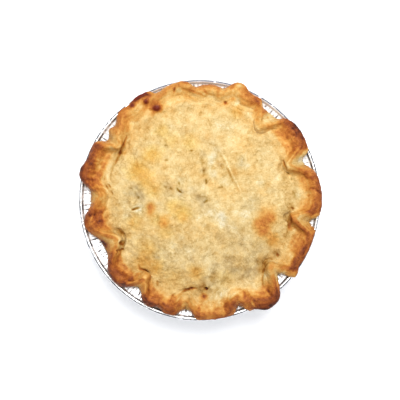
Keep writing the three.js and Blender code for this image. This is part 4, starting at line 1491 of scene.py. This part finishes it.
def foil_material():
    material, tree, shader = new_material("pressed_foil")
    dulled = point_value(tree, "dulled")
    crinkle = place_group(tree, FINE_GRAIN, Scale=420.0, Roughness=0.5, Contrast=1.0)
    feed(tree, shader.inputs["Metallic"], map_range(tree, dulled, 0.0, 1.0, 0.9, 0.5))
    colour = mix_colours(tree, "MIX", point_value(tree, "fold"), FOIL_COLOUR, CREASE_SHADE_COLOUR)
    feed(tree, shader.inputs["Base Color"], colour)
    roughness = map_range(tree, dulled, 0.0, 1.0, 0.14, 0.36)
    roughness = math_node(tree, "MULTIPLY_ADD", crinkle["Value"], 0.2, roughness)
    feed(tree, shader.inputs["Roughness"], roughness)
    add_bump(tree, shader, crinkle["Coarse"], 0.5, 0.4)
    return material


pan_foil.data.materials.append(foil_material())
print("foil:", [material.name for material in pan_foil.data.materials])

# %% [markdown]
# ## Table, light and camera
#
# The pie lies on a white table that is lit a little from below, as a light table is, so only a
# faint shadow is left. A large soft light stands behind and above it, and the room is evenly
# bright. A mirror shows what is round it, so for mirror rays alone the room has dark walls low
# down and a bright ceiling. That draws the thin dark lines on the foil's bead, and the pastry
# hardly changes.
#
# The camera looks straight down from over a metre away with a long lens, so the flutes hardly
# lean.

# %% The table
TABLE = 3.0  # metres from its middle to its sides
corners = [(-TABLE, -TABLE, 0), (TABLE, -TABLE, 0), (TABLE, TABLE, 0), (-TABLE, TABLE, 0)]
table_mesh = bpy.data.meshes.new("white_table")
table_mesh.from_pydata(corners, [], [(0, 1, 2, 3)])
white_table = bpy.data.objects.new("white_table", table_mesh)
bpy.context.scene.collection.objects.link(white_table)
table_material, _, table_shader = new_material("white_card")
table_shader.inputs["Base Color"].default_value = (0.9, 0.9, 0.91, 1)
table_shader.inputs["Roughness"].default_value = 0.9
table_shader.inputs["Emission Color"].default_value = (0.95, 0.97, 1.0, 1)
table_shader.inputs["Emission Strength"].default_value = 0.24
table_mesh.materials.append(table_material)
print("table:", 2 * TABLE, "m across")

# %% The room
ROOM_COLOUR = (0.97, 0.98, 1.0, 1)
DARK_WALLS = (0.03, 0.03, 0.04, 1)
BRIGHT_CEILING = (1.6, 1.61, 1.62, 1)

world = bpy.data.worlds.new("studio")
bpy.context.scene.world = world
world.use_nodes = True
room = world.node_tree
background = room.nodes["Background"]
background.inputs["Strength"].default_value = 0.64
direction = room.nodes.new("ShaderNodeTexCoord").outputs["Generated"]
upward = room.nodes.new("ShaderNodeSeparateXYZ")
room.links.new(direction, upward.inputs[0])
low_down = map_range(room, upward.outputs["Z"], 0.0, 0.25, 1.0, 0.0)
overhead = map_range(room, upward.outputs["Z"], 0.6, 0.95, 0.0, 1.0)
mirror_ray = room.nodes.new("ShaderNodeLightPath").outputs["Is Glossy Ray"]
seen = ROOM_COLOUR
for place, colour in ((low_down, DARK_WALLS), (overhead, BRIGHT_CEILING)):
    seen = mix_colours(room, "MIX", math_node(room, "MULTIPLY", place, mirror_ray), seen, colour)
feed(room, background.inputs["Color"], seen)
print("room:", len(room.nodes), "nodes")


# %% The light
def soft_light(name, place, size, power, aim=(0, 0, 0.03)):
    """A round lamp that shines at the pie."""
    light = bpy.data.lights.new(name, "AREA")
    light.shape = "DISK"
    light.size = size
    light.energy = power
    lamp = bpy.data.objects.new(name, light)
    bpy.context.scene.collection.objects.link(lamp)
    lamp.location = place
    lamp.rotation_euler = (Vector(aim) - Vector(place)).to_track_quat("-Z", "Y").to_euler()
    return lamp


key_light = soft_light("key", (0.08, 0.54, 1.42), 0.9, 25.0)
print(f"key light: {key_light.data.size:.1f} m across, {key_light.location.length:.2f} m away")

# %% The camera
VIEW_WIDTH = 0.210  # metres across the rim's plane
CAMERA_HEIGHT = 1.2  # metres above the rim
CAMERA_TO_RIGHT = 0.0002
SENSOR = 36.0  # millimetres
camera = bpy.data.cameras.new("camera")
camera.sensor_width = SENSOR
camera.lens = SENSOR * CAMERA_HEIGHT / VIEW_WIDTH
camera_object = bpy.data.objects.new("camera", camera)
bpy.context.scene.collection.objects.link(camera_object)
camera_object.location = (CAMERA_TO_RIGHT, 0, PAN_HEIGHT * MM + CAMERA_HEIGHT)
bpy.context.scene.camera = camera_object
bpy.context.scene.view_settings.view_transform = "Standard"
print(f"camera: {camera.lens:.0f} mm lens, straight above")

# %% [markdown]
# ## The last step
#
# The scene is brought up to date.

# %% Bring the scene up to date
bpy.context.view_layer.update()
